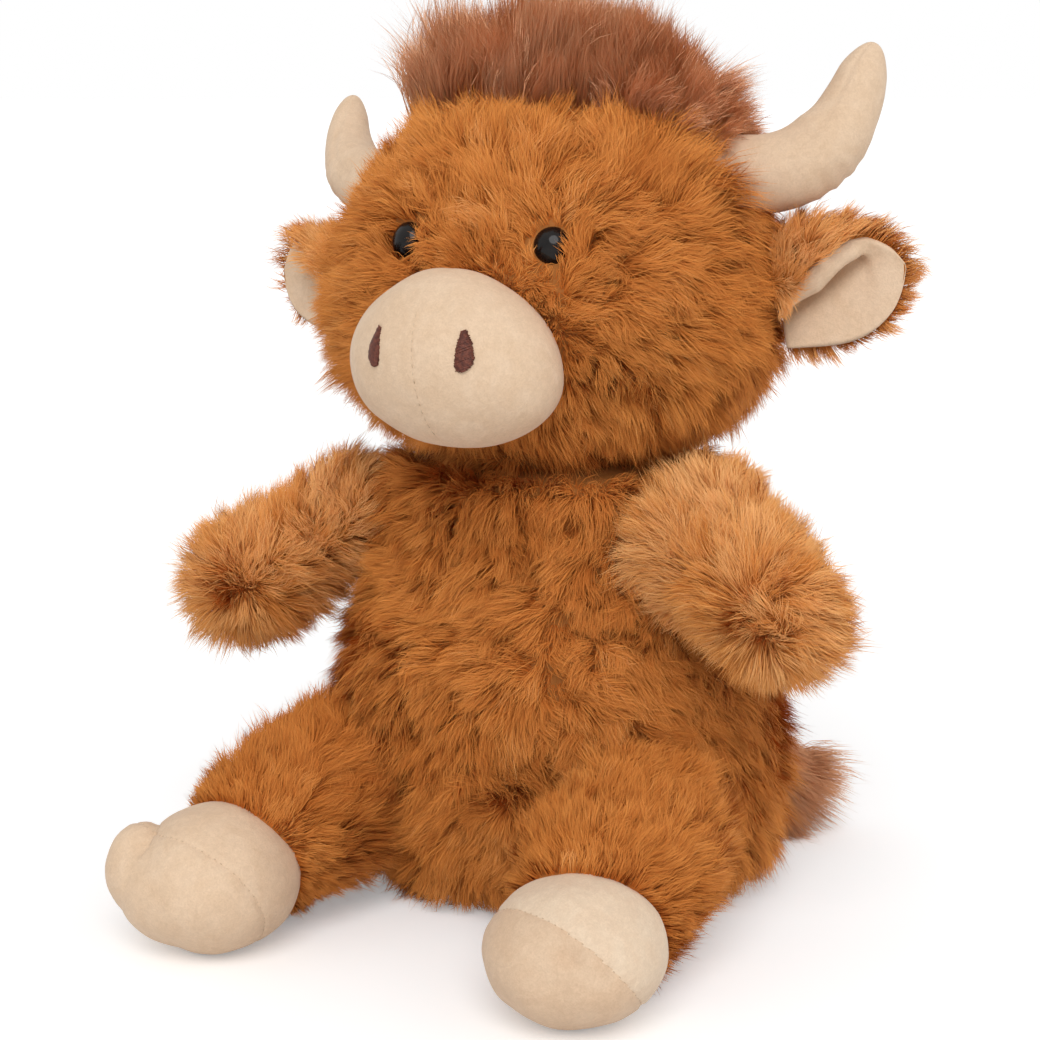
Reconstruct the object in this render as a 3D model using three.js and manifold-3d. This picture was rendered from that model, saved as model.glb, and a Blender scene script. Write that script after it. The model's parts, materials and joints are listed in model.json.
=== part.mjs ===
// A seated highland cow soft toy: sewn pelts, what fills them, and its plastic eyes.
// Millimetres. The cow faces -Y, its own left is +X, and its seat and hooves stand at z = 0.
import * as THREE from 'three';
import { mergeVertices } from 'three/addons/utils/BufferGeometryUtils.js';
import Module from 'manifold-3d';

const wasm = await Module();
wasm.setup();

// Cloth and clearances
const pile = 12; // long pile with its backing
const nap = 2.6; // short pile with its backing
const gap = 0.3; // air between two pieces that touch
const standCut = 0.5; // depth of the flat under a soft form that stands
const legLift = 0.8; // air under the thighs
const sweepStep = 7; // degrees between two positions of a swing that is cut clear

// Torso: half widths at their heights
const seatHalf = 56;
const hipHalf = 83;
const hipHeight = 18;
const bellyHalf = 88;
const bellyHeight = 52;
const waistHalf = 82;
const waistHeight = 88;
const chestHalf = 71;
const chestHeight = 118;
const shoulderHalf = 65;
const shoulderHeight = 145;
const collarHalf = 50;
const neckHeight = 166;
const torsoTop = 174;
const torsoHalfDepth = 79;
const seatSetBack = 8; // how far the seat lies behind the collar
const pelletHeight = 46; // top of the pellet bag

// Neck
const neckRadius = 48;
const neckSlope = 5.5; // degrees that head and shoulders each fall away from the neck

// Head: half widths at their heights
const headBase = 157;
const jawHalf = 66;
const jawHeight = 171;
const cheekHalf = 88;
const cheekHeight = 208;
const templeHalf = 78;
const templeHeight = 255;
const crownHalf = 52;
const crownHeight = 284;
const headTop = 289;
const headHalfDepth = 76;

// Muzzle and nostrils
const muzzleHeight = 207;
const muzzleHalf = 37;
const muzzleHalfHeight = 30;
const muzzleReach = 29;
const seamGap = 0.4; // between the two muzzle panels
const nostrilSpread = 17;
const nostrilHeight = 212;
const nostrilWidth = 6.6;
const nostrilLength = 14.5;
const threadRise = 1.1; // how far the embroidery stands out

// Eyes
const eyeSpread = 31;
const eyeHeight = 246;
const eyeTurn = 19; // degrees outwards
const eyeTilt = 15; // degrees upwards
const eyeRadius = 6.6;
const eyeRise = 5.6;
const eyeRim = 0.7;
const eyeDepth = 10.4; // from the pile's face to the back of the dome
const backing = 1.6; // cloth held between dome and washer
const shankRadius = 2.2;
const shankLength = 13;
const shankRib = 0.4;
const shankRibs = 2;
const washerRadius = 8;
const washerThickness = 1.6;

// Horns
const hornSpread = 66;
const hornSetBack = 4;
const hornRootRadius = 14.5;
const hornMidRadius = 11.5;
const hornTipRadius = 6;
const hornTipShare = 0.86; // of the horn's length, where its tip starts to round
const leftHorn = { root: 264, reach: 44, back: 19, rise: 50 };
const rightHorn = { root: 260, reach: 41, back: 27, rise: 34 };

// Ears
const earLength = 47;
const earTurn = 14; // degrees that the ears point back
const earHalf = 24;
const earThick = 11;
const earCup = 7; // how far the edges curl forward
const earSetBack = 6;
const earBall = 8;
const earStandOff = 3;
const earSweep = [-15, 20];
const liningShare = 0.84; // of the ear's outline
const leftEar = { height: 228, lift: 10 };
const rightEar = { height: 221, lift: 3 };

// Forelock
const lockHalf = 68;
const lockHalfDepth = 31;
const lockTop = 330;
const lockEdge = 310; // height at which the forelock rounds over
const lockSetBack = 5;
const lockAside = 3; // how far the forelock sits towards the left horn

// Arms
const armHeight = 143;
const armTurn = 18; // degrees that the shoulder lies forward of the side
const armAim = 27; // degrees that the arm points forward of the side
const armStandOff = 5;
const armBall = 14;
const armRootRadius = 24;
const wristRadius = 23.5;
const handRadius = 26;
const handReach = 57;
const armSweep = [-15, 25];
const leftArmDrop = 22; // degrees that the arm hangs
const rightArmDrop = 30;

// Legs and hooves
const legHeight = 41;
const legTurn = 42; // degrees that the hip lies forward of the side
const legStandOff = 4;
const legBall = 14;
const thighRadius = 37.5;
const thighReach = 14;
const ankleRadius = 33;
const legSweep = [0, 20];
const hoofOut = 72;
const hoofForward = 122;
const hoofHalf = 30;
const hoofHalfLength = 31;
const hoofHalfHeight = 25;
const soleSet = 9; // how far the sole's seam lies forward of the hoof's middle
const toeBump = 14; // the pinched toe on the right hoof

// Tail
const tailHeight = 30;
const tailTurn = 72; // degrees round from the side to the back
const tailStandOff = 3;
const tailBall = 7;
const tailRadius = 8.5;
const tailLength = 25;
const tailAim = 8; // degrees that the tail points back of the side
const tailDrop = 9;
const tasselLength = 41;
const tasselRadius = 17;
const tailSweep = [-5, 45];

// Facets
const bodySides = 24;
const bodyRings = 12;
const coreSides = 12;
const coreRings = 6;
const neckSides = 20;
const domeSides = 16;
const limbSides = 16;
const limbRings = 8;
const trimSides = 12;
const trimRings = 7;
const innerSides = 8;
const innerRings = 5;

const radians = THREE.MathUtils.degToRad;
const up = new THREE.Vector3(0, 0, 1);
const forward = new THREE.Vector3(0, -1, 0);
const vector = (x, y, z) => new THREE.Vector3(x, y, z);

// A closed skin from a first point, rings of points and a last point
function skin(start, rings, end) {
  const points = [start, ...rings.flat(), end];
  const sides = rings[0].length;
  const faces = [];
  const at = (ring, side) => 1 + ring * sides + (side % sides);
  for (let side = 0; side < sides; side++) {
    faces.push(0, at(0, side + 1), at(0, side));
    for (let ring = 0; ring < rings.length - 1; ring++) {
      faces.push(at(ring, side), at(ring, side + 1), at(ring + 1, side + 1));
      faces.push(at(ring, side), at(ring + 1, side + 1), at(ring + 1, side));
    }
    faces.push(at(rings.length - 1, side), at(rings.length - 1, side + 1), points.length - 1);
  }
  const geometry = new THREE.BufferGeometry();
  geometry.setAttribute('position', new THREE.Float32BufferAttribute(points.flatMap((p) => p.toArray()), 3));
  geometry.setIndex(faces);
  return geometry;
}

// A form round the z axis: its profile is a smooth curve through pairs of radius and height
function swell(profile, { depth = 1, shift = () => 0, sides = bodySides, rings = bodyRings }) {
  const curve = new THREE.SplineCurve(profile.map(([radius, height]) => new THREE.Vector2(radius, height)));
  const steps = curve.getSpacedPoints(rings + 1);
  const loops = steps.slice(1, -1).map(({ x: radius, y: height }) =>
    Array.from({ length: sides }, (_, side) => {
      const turn = (2 * Math.PI * side) / sides;
      const y = radius * depth * Math.sin(turn) + shift(height);
      return vector(radius * Math.cos(turn), y, height);
    }));
  const tip = ({ y: height }) => vector(0, shift(height), height);
  return skin(tip(steps[0]), loops, tip(steps[rings + 1]));
}

// A tapered tube round a curve, closed by a round tip and a flat root
function taper(curve, radiusAt, sides, rings) {
  const loops = Array.from({ length: rings }, (_, ring) => {
    const share = 1 - (1 - ring / rings) ** 1.7; // rings lie closer together at the tip
    const way = curve.getTangentAt(share);
    const across = vector().crossVectors(way, vector(0, 1, 0)).normalize();
    const over = vector().crossVectors(way, across);
    return Array.from({ length: sides }, (_, side) => {
      const turn = (2 * Math.PI * side) / sides;
      const point = curve.getPointAt(share).addScaledVector(across, radiusAt(share) * Math.cos(turn));
      return point.addScaledVector(over, radiusAt(share) * Math.sin(turn));
    });
  });
  return skin(curve.getPointAt(0), loops, curve.getPointAt(1));
}

// The same form with its skin moved out, or in where the distance is negative
function grown(form, distance) {
  const copy = form.clone();
  copy.computeVertexNormals();
  const { position, normal } = copy.attributes;
  for (let i = 0; i < position.count; i++) {
    const point = vector().fromBufferAttribute(position, i);
    point.addScaledVector(vector().fromBufferAttribute(normal, i), distance);
    position.setXYZ(i, point.x, point.y, point.z);
  }
  copy.deleteAttribute('normal');
  return copy;
}

function mirrored(form) {
  const copy = form.clone().scale(-1, 1, 1);
  const faces = copy.index.array;
  for (let i = 0; i < faces.length; i += 3) [faces[i], faces[i + 1]] = [faces[i + 1], faces[i]];
  return copy;
}

function turned(form, pivot, axis, degrees) {
  const spin = new THREE.Matrix4().makeRotationAxis(axis, radians(degrees));
  const centred = form.clone().translate(-pivot.x, -pivot.y, -pivot.z);
  return centred.applyMatrix4(spin).translate(pivot.x, pivot.y, pivot.z);
}

// Moves a form made along z so that it runs from a point in a direction
function along(form, origin, direction) {
  const z = direction.clone().normalize();
  const x = vector().crossVectors(Math.abs(z.z) > 0.99 ? forward : up, z).normalize();
  const frame = new THREE.Matrix4().makeBasis(x, vector().crossVectors(z, x), z).setPosition(origin);
  return form.clone().applyMatrix4(frame);
}

function bare(form) {
  const copy = form.clone();
  copy.deleteAttribute('normal');
  copy.deleteAttribute('uv');
  return mergeVertices(copy, 1e-4);
}

function solid(form) {
  const { attributes, index } = bare(form);
  const mesh = new wasm.Mesh({
    numProp: 3,
    vertProperties: new Float32Array(attributes.position.array),
    triVerts: new Uint32Array(index.array),
  });
  return new wasm.Manifold(mesh);
}

const cut = (piece, ...tools) => tools.reduce((rest, tool) => rest.subtract(solid(tool)), piece);
const join = (piece, ...tools) => tools.reduce((whole, tool) => whole.add(solid(tool)), piece);
const common = (piece, ...tools) => tools.reduce((whole, tool) => whole.intersect(solid(tool)), piece);

// Cuts a piece clear of its neighbour's form over the whole of its swing
function cutClear(piece, neighbour, pivot, axis, [low, high]) {
  const steps = Math.ceil((high - low) / sweepStep);
  const body = grown(neighbour, gap);
  const poses = Array.from({ length: steps + 1 }, (_, i) => low + ((high - low) * i) / steps);
  return poses.reduce((rest, pose) => cut(rest, turned(body, pivot, axis, -pose)), piece);
}

function geometryOf(piece) {
  const { vertProperties, triVerts, numProp } = piece.getMesh();
  const points = [];
  for (let i = 0; i < vertProperties.length; i += numProp) points.push(...vertProperties.slice(i, i + 3));
  const geometry = new THREE.BufferGeometry();
  geometry.setAttribute('position', new THREE.Float32BufferAttribute(points, 3));
  geometry.setIndex([...triVerts]);
  return geometry;
}

const ball = (centre, radius, sides = limbSides) =>
  new THREE.SphereGeometry(radius, sides, sides / 2).translate(centre.x, centre.y, centre.z);

const block = (width, depth, height, x, y, z) =>
  new THREE.BoxGeometry(width, depth, height).translate(x, y, z);

// A round bar from one point along a direction
function bar(origin, direction, radius, length, sides = trimSides) {
  const form = new THREE.CylinderGeometry(radius, radius, length, sides).rotateX(Math.PI / 2);
  return along(form.translate(0, 0, length / 2), origin, direction);
}

function spun(pairs, origin, direction, sides = trimSides) {
  const profile = pairs.map(([radius, height]) => new THREE.Vector2(radius, height));
  return along(new THREE.LatheGeometry(profile, sides).rotateX(Math.PI / 2), origin, direction);
}

// Where a ray leaves a form
function surface(form, origin, direction) {
  const target = new THREE.Mesh(form, new THREE.MeshBasicMaterial({ side: THREE.BackSide }));
  const hits = new THREE.Raycaster(origin, direction.clone().normalize()).intersectObject(target);
  return hits[0].point;
}

// A level direction turned from the cow's left side towards its front, and dropped below level
function aim(turn, drop = 0) {
  const level = Math.cos(radians(drop));
  return vector(level * Math.cos(radians(turn)), -level * Math.sin(radians(turn)), -Math.sin(radians(drop)));
}

const far = 400; // more than the toy's whole size, for what cuts right through
const floorBlock = block(2 * far, 2 * far, far, 0, 0, -far / 2);

// Torso, neck and head forms, on which everything else is seated
const setBack = (height) => seatSetBack * (1 - THREE.MathUtils.smoothstep(height, 0, neckHeight));
const torsoProfile = [
  [0, -standCut],
  [seatHalf, -standCut],
  [hipHalf, hipHeight],
  [bellyHalf, bellyHeight],
  [waistHalf, waistHeight],
  [chestHalf, chestHeight],
  [shoulderHalf, shoulderHeight],
  [collarHalf, neckHeight],
  [0, torsoTop],
];
const torsoShape = { depth: torsoHalfDepth / bellyHalf, shift: setBack };
const torsoForm = swell(torsoProfile, torsoShape);
const torsoRough = swell(torsoProfile, { ...torsoShape, sides: coreSides, rings: coreRings + 2 });
const torsoCoreDepth = (torsoHalfDepth - pile) / (bellyHalf - pile);
const torsoCore = swell([
  [0, pile],
  [seatHalf, pile],
  [hipHalf - pile, hipHeight + pile / 2],
  [bellyHalf - pile, bellyHeight],
  [waistHalf - pile, waistHeight],
  [chestHalf - pile, chestHeight],
  [shoulderHalf - pile, shoulderHeight - pile / 2],
  [0, torsoTop - pile],
], { depth: torsoCoreDepth, shift: setBack, sides: coreSides, rings: coreRings });

const headForm = swell([
  [0, headBase],
  [jawHalf, jawHeight],
  [cheekHalf, cheekHeight],
  [templeHalf, templeHeight],
  [crownHalf, crownHeight],
  [0, headTop],
], { depth: headHalfDepth / cheekHalf });
const headCore = swell([
  [0, headBase + pile],
  [jawHalf - pile, jawHeight + pile / 2],
  [cheekHalf - pile, cheekHeight],
  [templeHalf - pile, templeHeight - pile / 3],
  [crownHalf - pile, crownHeight - pile],
  [0, headTop - pile],
], { depth: (headHalfDepth - pile) / (cheekHalf - pile), sides: coreSides, rings: coreRings });

const neckPivot = vector(0, 0, neckHeight);
const neckBall = ball(neckPivot, neckRadius, neckSides);
const neckSeat = ball(neckPivot, neckRadius + 2 * gap, 1.5 * neckSides); // finer, for the ball to turn in

// A shallow cone of room over the shoulders, or under the head where the sign is negative
function neckRoom(sign) {
  const reach = 2 * cheekHalf;
  const fall = reach * Math.tan(radians(neckSlope));
  const pairs = [[0, 0], [reach, -fall], [reach, reach], [0, reach]];
  return spun(pairs, neckPivot, up.clone().multiplyScalar(sign), bodySides);
}

const materials = {
  fur: new THREE.MeshStandardMaterial({ color: 0xb87436, roughness: 0.95 }),
  auburn: new THREE.MeshStandardMaterial({ color: 0x96583c, roughness: 0.95 }),
  cream: new THREE.MeshStandardMaterial({ color: 0xe0c9a6, roughness: 0.9 }),
  thread: new THREE.MeshStandardMaterial({ color: 0x4a241a, roughness: 0.7 }),
  eye: new THREE.MeshStandardMaterial({ color: 0x0a0808, roughness: 0.12 }),
  nylon: new THREE.MeshStandardMaterial({ color: 0xe8e6e0, roughness: 0.5 }),
  fibre: new THREE.MeshStandardMaterial({ color: 0xf4f3ef, roughness: 1 }),
  pellets: new THREE.MeshStandardMaterial({ color: 0xdcdad2, roughness: 0.8 }),
};

const cow = new THREE.Group();

function addPiece(name, piece, material) {
  const mesh = new THREE.Mesh(geometryOf(piece), materials[material]);
  mesh.name = name;
  cow.add(mesh);
}

// Everything at one side is made at the left, and mirrored for the right
const bothSides = [
  { name: 'left', flip: (form) => form, horn: leftHorn, ear: leftEar, armDrop: leftArmDrop, toe: 0 },
  { name: 'right', flip: mirrored, horn: rightHorn, ear: rightEar, armDrop: rightArmDrop, toe: toeBump },
];

function addSided(side, name, piece, material) {
  addPiece(`${name}_${side.name}`, solid(side.flip(geometryOf(piece))), material);
}

// Seats of the limbs, each a ball that stands a little way out of the form that carries it
function seatOn(form, height, direction, standOff) {
  const from = vector(0, 0, height);
  return surface(form, from, direction).addScaledVector(direction.clone().normalize(), standOff);
}

const armPivot = seatOn(torsoForm, armHeight, aim(armTurn), armStandOff);
const armAxis = vector(-Math.sin(radians(armAim)), -Math.cos(radians(armAim)), 0);
const legPivot = seatOn(torsoForm, legHeight, aim(legTurn), legStandOff);
const legAxis = vector(-1, 0, 0);
const tailPivot = seatOn(torsoForm, tailHeight, aim(-tailTurn), tailStandOff);
const earAxis = vector(0, 0, -1);
const earPivot = ({ height }) => seatOn(headForm, height, vector(cheekHalf, earSetBack, 0), earStandOff);

function makeTorso() {
  const pockets = bothSides.flatMap(({ flip }) => [
    flip(bare(ball(armPivot, armBall + 2 * gap))),
    flip(bare(ball(legPivot, legBall + 2 * gap))),
  ]);
  const room = neckRoom(1);
  pockets.push(ball(tailPivot, tailBall + 2 * gap));
  const pelt = cut(solid(torsoForm), floorBlock, room, neckSeat, torsoCore, ...pockets);
  addPiece('torso_pelt', pelt, 'fur');

  const over = block(far, far, far, 0, 0, pelletHeight + far / 2);
  const under = block(far, far, far, 0, 0, pelletHeight + gap - far / 2);
  const filling = cut(solid(grown(torsoCore, -gap)), under, neckSeat);
  addPiece('torso_stuffing', filling, 'fibre');
  addPiece('seat_pellet_bag', cut(solid(grown(torsoCore, -gap)), over), 'pellets');
  addPiece('neck_stuffing', solid(neckBall), 'fibre');
}

const boreRadius = shankRadius + shankRib + gap;

// Eyes: a dome in a well of pile, a ribbed shank through the backing, and a washer behind it
function eyeSeat() {
  const out = aim(90 - eyeTurn, -eyeTilt);
  const face = surface(headForm, vector(eyeSpread, 0, eyeHeight), forward);
  return { out, base: face.addScaledVector(out, -eyeDepth) };
}

function eyeWells() {
  const { out, base } = eyeSeat();
  const well = bar(base.clone().addScaledVector(out, -gap), out, eyeRadius + gap, 3 * pile);
  const bore = bar(base.clone().addScaledVector(out, -3 * pile), out, boreRadius, 4 * pile);
  return [well, bore];
}

function washerPlace() {
  const { out, base } = eyeSeat();
  return { out, origin: base.clone().addScaledVector(out, -backing - washerThickness - 2 * gap) };
}

// Room behind the backing for the washer, from its face inwards
function washerWell() {
  const { out, origin } = washerPlace();
  const inwards = out.clone().negate();
  return bar(origin.addScaledVector(out, washerThickness + gap), inwards, washerRadius + gap, pile);
}

function makeEyes(side) {
  const { out, base } = eyeSeat();
  const pitch = shankLength / (shankRibs + 1);
  const ribHeights = Array.from({ length: shankRibs }, (_, i) => pitch * (i + 1) - shankLength);
  const ribs = ribHeights.flatMap((height) => [
    [shankRadius, height - shankRib],
    [shankRadius + shankRib, height],
    [shankRadius, height + shankRib],
  ]);
  const dome = Array.from({ length: 5 }, (_, i) => {
    const lean = (Math.PI / 2) * (i / 4);
    return [eyeRadius * Math.cos(lean), eyeRim + (eyeRise - eyeRim) * Math.sin(lean)];
  });
  dome[4][0] = 0;
  const shank = [[0, -shankLength], [shankRadius, -shankLength], ...ribs, [shankRadius, 0]];
  addSided(side, 'eye', solid(spun([...shank, [eyeRadius, 0], ...dome], base, out)), 'eye');

  const ring = [
    [boreRadius, 0],
    [washerRadius, 0],
    [washerRadius, washerThickness],
    [boreRadius, washerThickness],
    [boreRadius, 0],
  ];
  const { origin } = washerPlace();
  addSided(side, 'eye_washer', solid(spun(ring, origin, out)), 'nylon');
}

function makeHead() {
  const sockets = bothSides.flatMap(({ flip, ear }) => [
    flip(bare(ball(earPivot(ear), earBall + 2 * gap, trimSides))),
    ...[...eyeWells(), washerWell()].map((form) => flip(bare(form))),
  ]);
  const pelt = cut(solid(headForm), neckRoom(-1), neckSeat, headCore, ...sockets);
  addPiece('head_pelt', pelt, 'fur');

  const wells = bothSides.map(({ flip }) => flip(bare(washerWell())));
  const filling = cut(solid(grown(headCore, -gap)), neckSeat, ...wells);
  addPiece('head_stuffing', filling, 'fibre');
}

// Muzzle: two panels that meet in a centre seam, over their own filling
const muzzleMiddle = surface(headForm, vector(0, 0, muzzleHeight), forward);

function muzzleForm() {
  const dome = new THREE.SphereGeometry(1, domeSides, domeSides / 2).rotateX(Math.PI / 2);
  return bare(dome.scale(muzzleHalf, muzzleReach, muzzleHalfHeight).translate(...muzzleMiddle));
}

function nostrilShape() {
  const round = nostrilWidth / 2;
  const low = round - nostrilLength / 2;
  const shape = new THREE.Shape();
  shape.moveTo(0, nostrilLength / 2);
  shape.quadraticCurveTo(-round, nostrilLength / 5, -round, low);
  shape.absarc(0, low, round, Math.PI, 2 * Math.PI, false);
  shape.quadraticCurveTo(round, nostrilLength / 5, 0, nostrilLength / 2);
  return shape;
}

function makeMuzzle() {
  const form = muzzleForm();
  const behind = grown(headForm, gap);
  const shell = cut(solid(form), grown(form, -nap), behind);
  const offSeam = (far - seamGap) / 2;
  addPiece('muzzle_panel_left', cut(shell, block(far, far, far, -offSeam, 0, muzzleHeight)), 'cream');
  addPiece('muzzle_panel_right', cut(shell, block(far, far, far, offSeam, 0, muzzleHeight)), 'cream');
  addPiece('muzzle_stuffing', cut(solid(grown(form, -nap - gap)), behind), 'fibre');

  const depth = 4 * muzzleReach;
  const patch = new THREE.ExtrudeGeometry(nostrilShape(), { depth, bevelEnabled: false, curveSegments: 3 });
  const place = patch.rotateX(Math.PI / 2);
  place.translate(nostrilSpread, muzzleMiddle.y - muzzleReach / 3, nostrilHeight);
  const stitched = cut(common(solid(place), grown(form, gap + threadRise)), grown(form, gap));
  for (const side of bothSides) addSided(side, 'nostril', stitched, 'thread');
}

function hornForm({ root, reach, back, rise }) {
  const start = vector(hornSpread, hornSetBack, root);
  const end = start.clone().add(vector(reach, back, rise));
  const out = start.clone().add(vector(reach * 0.95, back * 0.2, 0));
  const over = end.clone().add(vector(reach * 0.02, -back * 0.2, -rise * 0.55));
  const curve = new THREE.CubicBezierCurve3(start, out, over, end);
  const radiusAt = (share) => {
    const taperTo = share < 0.5
      ? THREE.MathUtils.lerp(hornRootRadius, hornMidRadius, share * 2)
      : THREE.MathUtils.lerp(hornMidRadius, hornTipRadius, share * 2 - 1);
    const tip = Math.max(0, share - hornTipShare) / (1 - hornTipShare);
    return taperTo * Math.sqrt(1 - tip ** 2);
  };
  return taper(curve, radiusAt, trimSides, trimRings);
}

function makeHorns(side) {
  const form = hornForm(side.horn);
  const inside = grown(form, -nap);
  const behind = grown(headForm, gap);
  addSided(side, 'horn', cut(solid(form), inside, behind), 'cream');
  addSided(side, 'horn_stuffing', cut(solid(grown(form, -nap - gap)), behind), 'fibre');
}

// Ears: a pile back round a short pile lining, cupped forward
function earBlade({ lift }, pivot, share, push) {
  const cup = (height) => earCup * (height / earHalf) ** 2;
  const blade = swell([
    [0, -earBall * share],
    [earHalf * 0.62 * share, earLength * 0.12],
    [earHalf * share, earLength * 0.5],
    [earHalf * 0.7 * share, earLength * 0.85],
    [0, earLength * (share + 1) / 2],
  ], { depth: earThick / 2 / earHalf, sides: trimSides, rings: trimRings });
  const { position } = blade.attributes;
  for (let i = 0; i < position.count; i++) {
    position.setY(i, position.getY(i) - cup(position.getX(i)) - push);
  }
  // The blade's x, y and z become the ear's up, back and outward
  blade.applyMatrix4(new THREE.Matrix4().makeBasis(up, vector(0, 1, 0), vector(1, 0, 0)));
  const faces = blade.index.array;
  for (let i = 0; i < faces.length; i += 3) [faces[i], faces[i + 1]] = [faces[i + 1], faces[i]];
  const raised = turned(blade.translate(pivot.x, pivot.y, pivot.z), pivot, vector(0, -1, 0), lift);
  return turned(raised, pivot, up, earTurn);
}

function makeEars(side) {
  const pivot = earPivot(side.ear);
  const blade = earBlade(side.ear, pivot, 1, 0);
  const front = earBlade(side.ear, pivot, liningShare, earThick * 0.42);
  const seat = (piece) => cutClear(piece, headForm, pivot, earAxis, earSweep);
  const back = cut(seat(solid(blade)), grown(front, gap));
  addSided(side, 'ear_back', join(back, ball(pivot, earBall, trimSides)), 'fur');
  const lining = cut(common(seat(solid(front)), blade), ball(pivot, earBall + gap, trimSides));
  addSided(side, 'ear_lining', lining, 'cream');
}

function makeForelock() {
  const form = swell([
    [0, crownHeight - 3 * pile],
    [lockHalf * 0.9, crownHeight - pile],
    [lockHalf, crownHeight + pile / 2],
    [lockHalf * 0.96, lockEdge],
    [lockHalf * 0.78, (lockEdge + 2 * lockTop) / 3],
    [0, lockTop],
  ], { depth: lockHalfDepth / lockHalf, shift: () => lockSetBack, sides: domeSides, rings: trimRings + 1 });
  form.translate(lockAside, 0, 0);
  const horns = bothSides.map(({ flip, horn }) => flip(grown(hornForm(horn), gap)));
  addPiece('forelock', cut(solid(form), grown(headForm, gap), ...horns), 'auburn');
}

function makeArms(side) {
  const way = aim(armAim, side.armDrop);
  const reach = handReach + handRadius;
  const outer = along(swell([
    [0, -armRootRadius * 0.6],
    [armRootRadius, 0],
    [wristRadius, handReach * 0.5],
    [handRadius, handReach],
    [handRadius * 0.62, reach - handRadius * 0.22],
    [0, reach],
  ], { sides: limbSides, rings: limbRings }), armPivot, way);
  const inner = along(swell([
    [0, armBall],
    [wristRadius - pile, handReach * 0.5],
    [handRadius - pile, handReach],
    [0, reach - pile],
  ], { sides: innerSides, rings: innerRings }), armPivot, way);
  const behind = armPivot.clone().addScaledVector(way, -armBall);
  const bore = bar(behind, way, armBall / 3, 3 * armBall, innerSides);
  const sleeve = cutClear(solid(outer), torsoForm, armPivot, armAxis, armSweep);
  addSided(side, 'arm_pelt', cut(join(sleeve, ball(armPivot, armBall)), inner, bore), 'fur');
  addSided(side, 'arm_stuffing', solid(grown(inner, -gap)), 'fibre');
}

// Hooves: an upper and a sole that meet in a seam, over their own filling
const hoofCentre = vector(hoofOut, -hoofForward, hoofHalfHeight - standCut);

function hoofForm(toe, grow = 0) {
  const dome = bare(new THREE.SphereGeometry(1, domeSides, trimSides - 2).rotateX(Math.PI / 2));
  dome.scale(hoofHalf + grow, hoofHalfLength + grow, hoofHalfHeight + grow);
  const whole = solid(dome.translate(hoofCentre.x, hoofCentre.y, hoofCentre.z));
  if (!toe) return whole;
  const lobe = hoofCentre.clone();
  lobe.add(vector(hoofHalf - toe / 4, -hoofHalfLength * 0.35, hoofHalfHeight * 0.3));
  return join(whole, ball(lobe, toe + grow, trimSides));
}

function makeLegs(side) {
  const way = hoofCentre.clone().sub(legPivot);
  const reach = way.length();
  const outer = along(swell([
    [0, -thighRadius],
    [thighRadius * 0.86, -thighRadius * 0.5],
    [thighRadius, thighReach],
    [ankleRadius + 3, reach * 0.55],
    [ankleRadius, reach * 0.78],
    [0, reach],
  ], { sides: limbSides, rings: limbRings }), legPivot, way);
  const inner = along(swell([
    [0, legBall],
    [thighRadius - pile, thighReach + pile],
    [ankleRadius - pile, reach * 0.78],
    [0, reach],
  ], { sides: innerSides, rings: innerRings }), legPivot, way);
  const under = block(far, far, far, 0, 0, legLift - far / 2);
  const thigh = cut(cutClear(solid(outer), torsoForm, legPivot, legAxis, legSweep), under);
  const hollow = cut(solid(inner), grown(torsoRough, pile));
  const pelt = join(thigh, ball(legPivot, legBall)).subtract(hollow);
  addSided(side, 'leg_pelt', pelt.subtract(hoofForm(side.toe, gap)), 'fur');
  const filling = cut(solid(grown(inner, -gap)), grown(torsoRough, pile + gap));
  addSided(side, 'leg_stuffing', filling.subtract(hoofForm(side.toe, gap)), 'fibre');

  const behindSeam = hoofCentre.y - soleSet;
  const upperBack = block(far, far, far, 0, behindSeam + (far - gap) / 2, 0);
  const soleFront = block(far, far, far, 0, behindSeam - (far - gap) / 2, 0);
  const mouth = bar(hoofCentre, vector(0, 1, 0), hoofHalf * 0.6, 2 * hoofHalfLength);
  const shell = cut(hoofForm(side.toe), floorBlock).subtract(hoofForm(0, -nap));
  addSided(side, 'hoof_upper', cut(shell, soleFront, mouth), 'cream');
  addSided(side, 'hoof_sole', cut(shell, upperBack), 'cream');
  addSided(side, 'hoof_stuffing', hoofForm(0, -nap - gap), 'fibre');
}

function makeTail() {
  const way = aim(-tailAim, tailDrop);
  const sleeve = along(swell([
    [0, -tailRadius],
    [tailRadius, 0],
    [tailRadius, tailLength * 0.8],
    [tailRadius * 0.7, tailLength],
    [0, tailLength + tailRadius / 2],
  ], { sides: trimSides - 4, rings: trimRings }), tailPivot, way);
  const tassel = along(swell([
    [0, tailLength - tailRadius],
    [tailRadius * 1.15, tailLength],
    [tasselRadius, tailLength + tasselLength * 0.55],
    [tasselRadius * 0.6, tailLength + tasselLength * 0.88],
    [0, tailLength + tasselLength],
  ], { sides: trimSides, rings: trimRings }), tailPivot, way);
  const clear = (form) => cutClear(solid(form), torsoForm, tailPivot, up, tailSweep);
  addPiece('tail_sleeve', join(clear(sleeve), ball(tailPivot, tailBall, trimSides - 4)), 'fur');
  addPiece('tail_tassel', cut(clear(tassel), grown(sleeve, gap)), 'auburn');
}

makeTorso();
makeHead();
makeMuzzle();
makeForelock();
makeTail();
for (const side of bothSides) {
  makeEyes(side);
  makeHorns(side);
  makeEars(side);
  makeArms(side);
  makeLegs(side);
}

// Where and about what each soft root bends, for whoever poses the toy
cow.userData.hinges = {
  neck: neckPivot, arm: armPivot, armAxis, leg: legPivot, legAxis, tail: tailPivot,
  earLeft: earPivot(leftEar), earRight: earPivot(rightEar), earAxis,
};

export default cow;
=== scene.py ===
import bpy
import json
import math
import numpy as np
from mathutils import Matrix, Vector, noise


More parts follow.
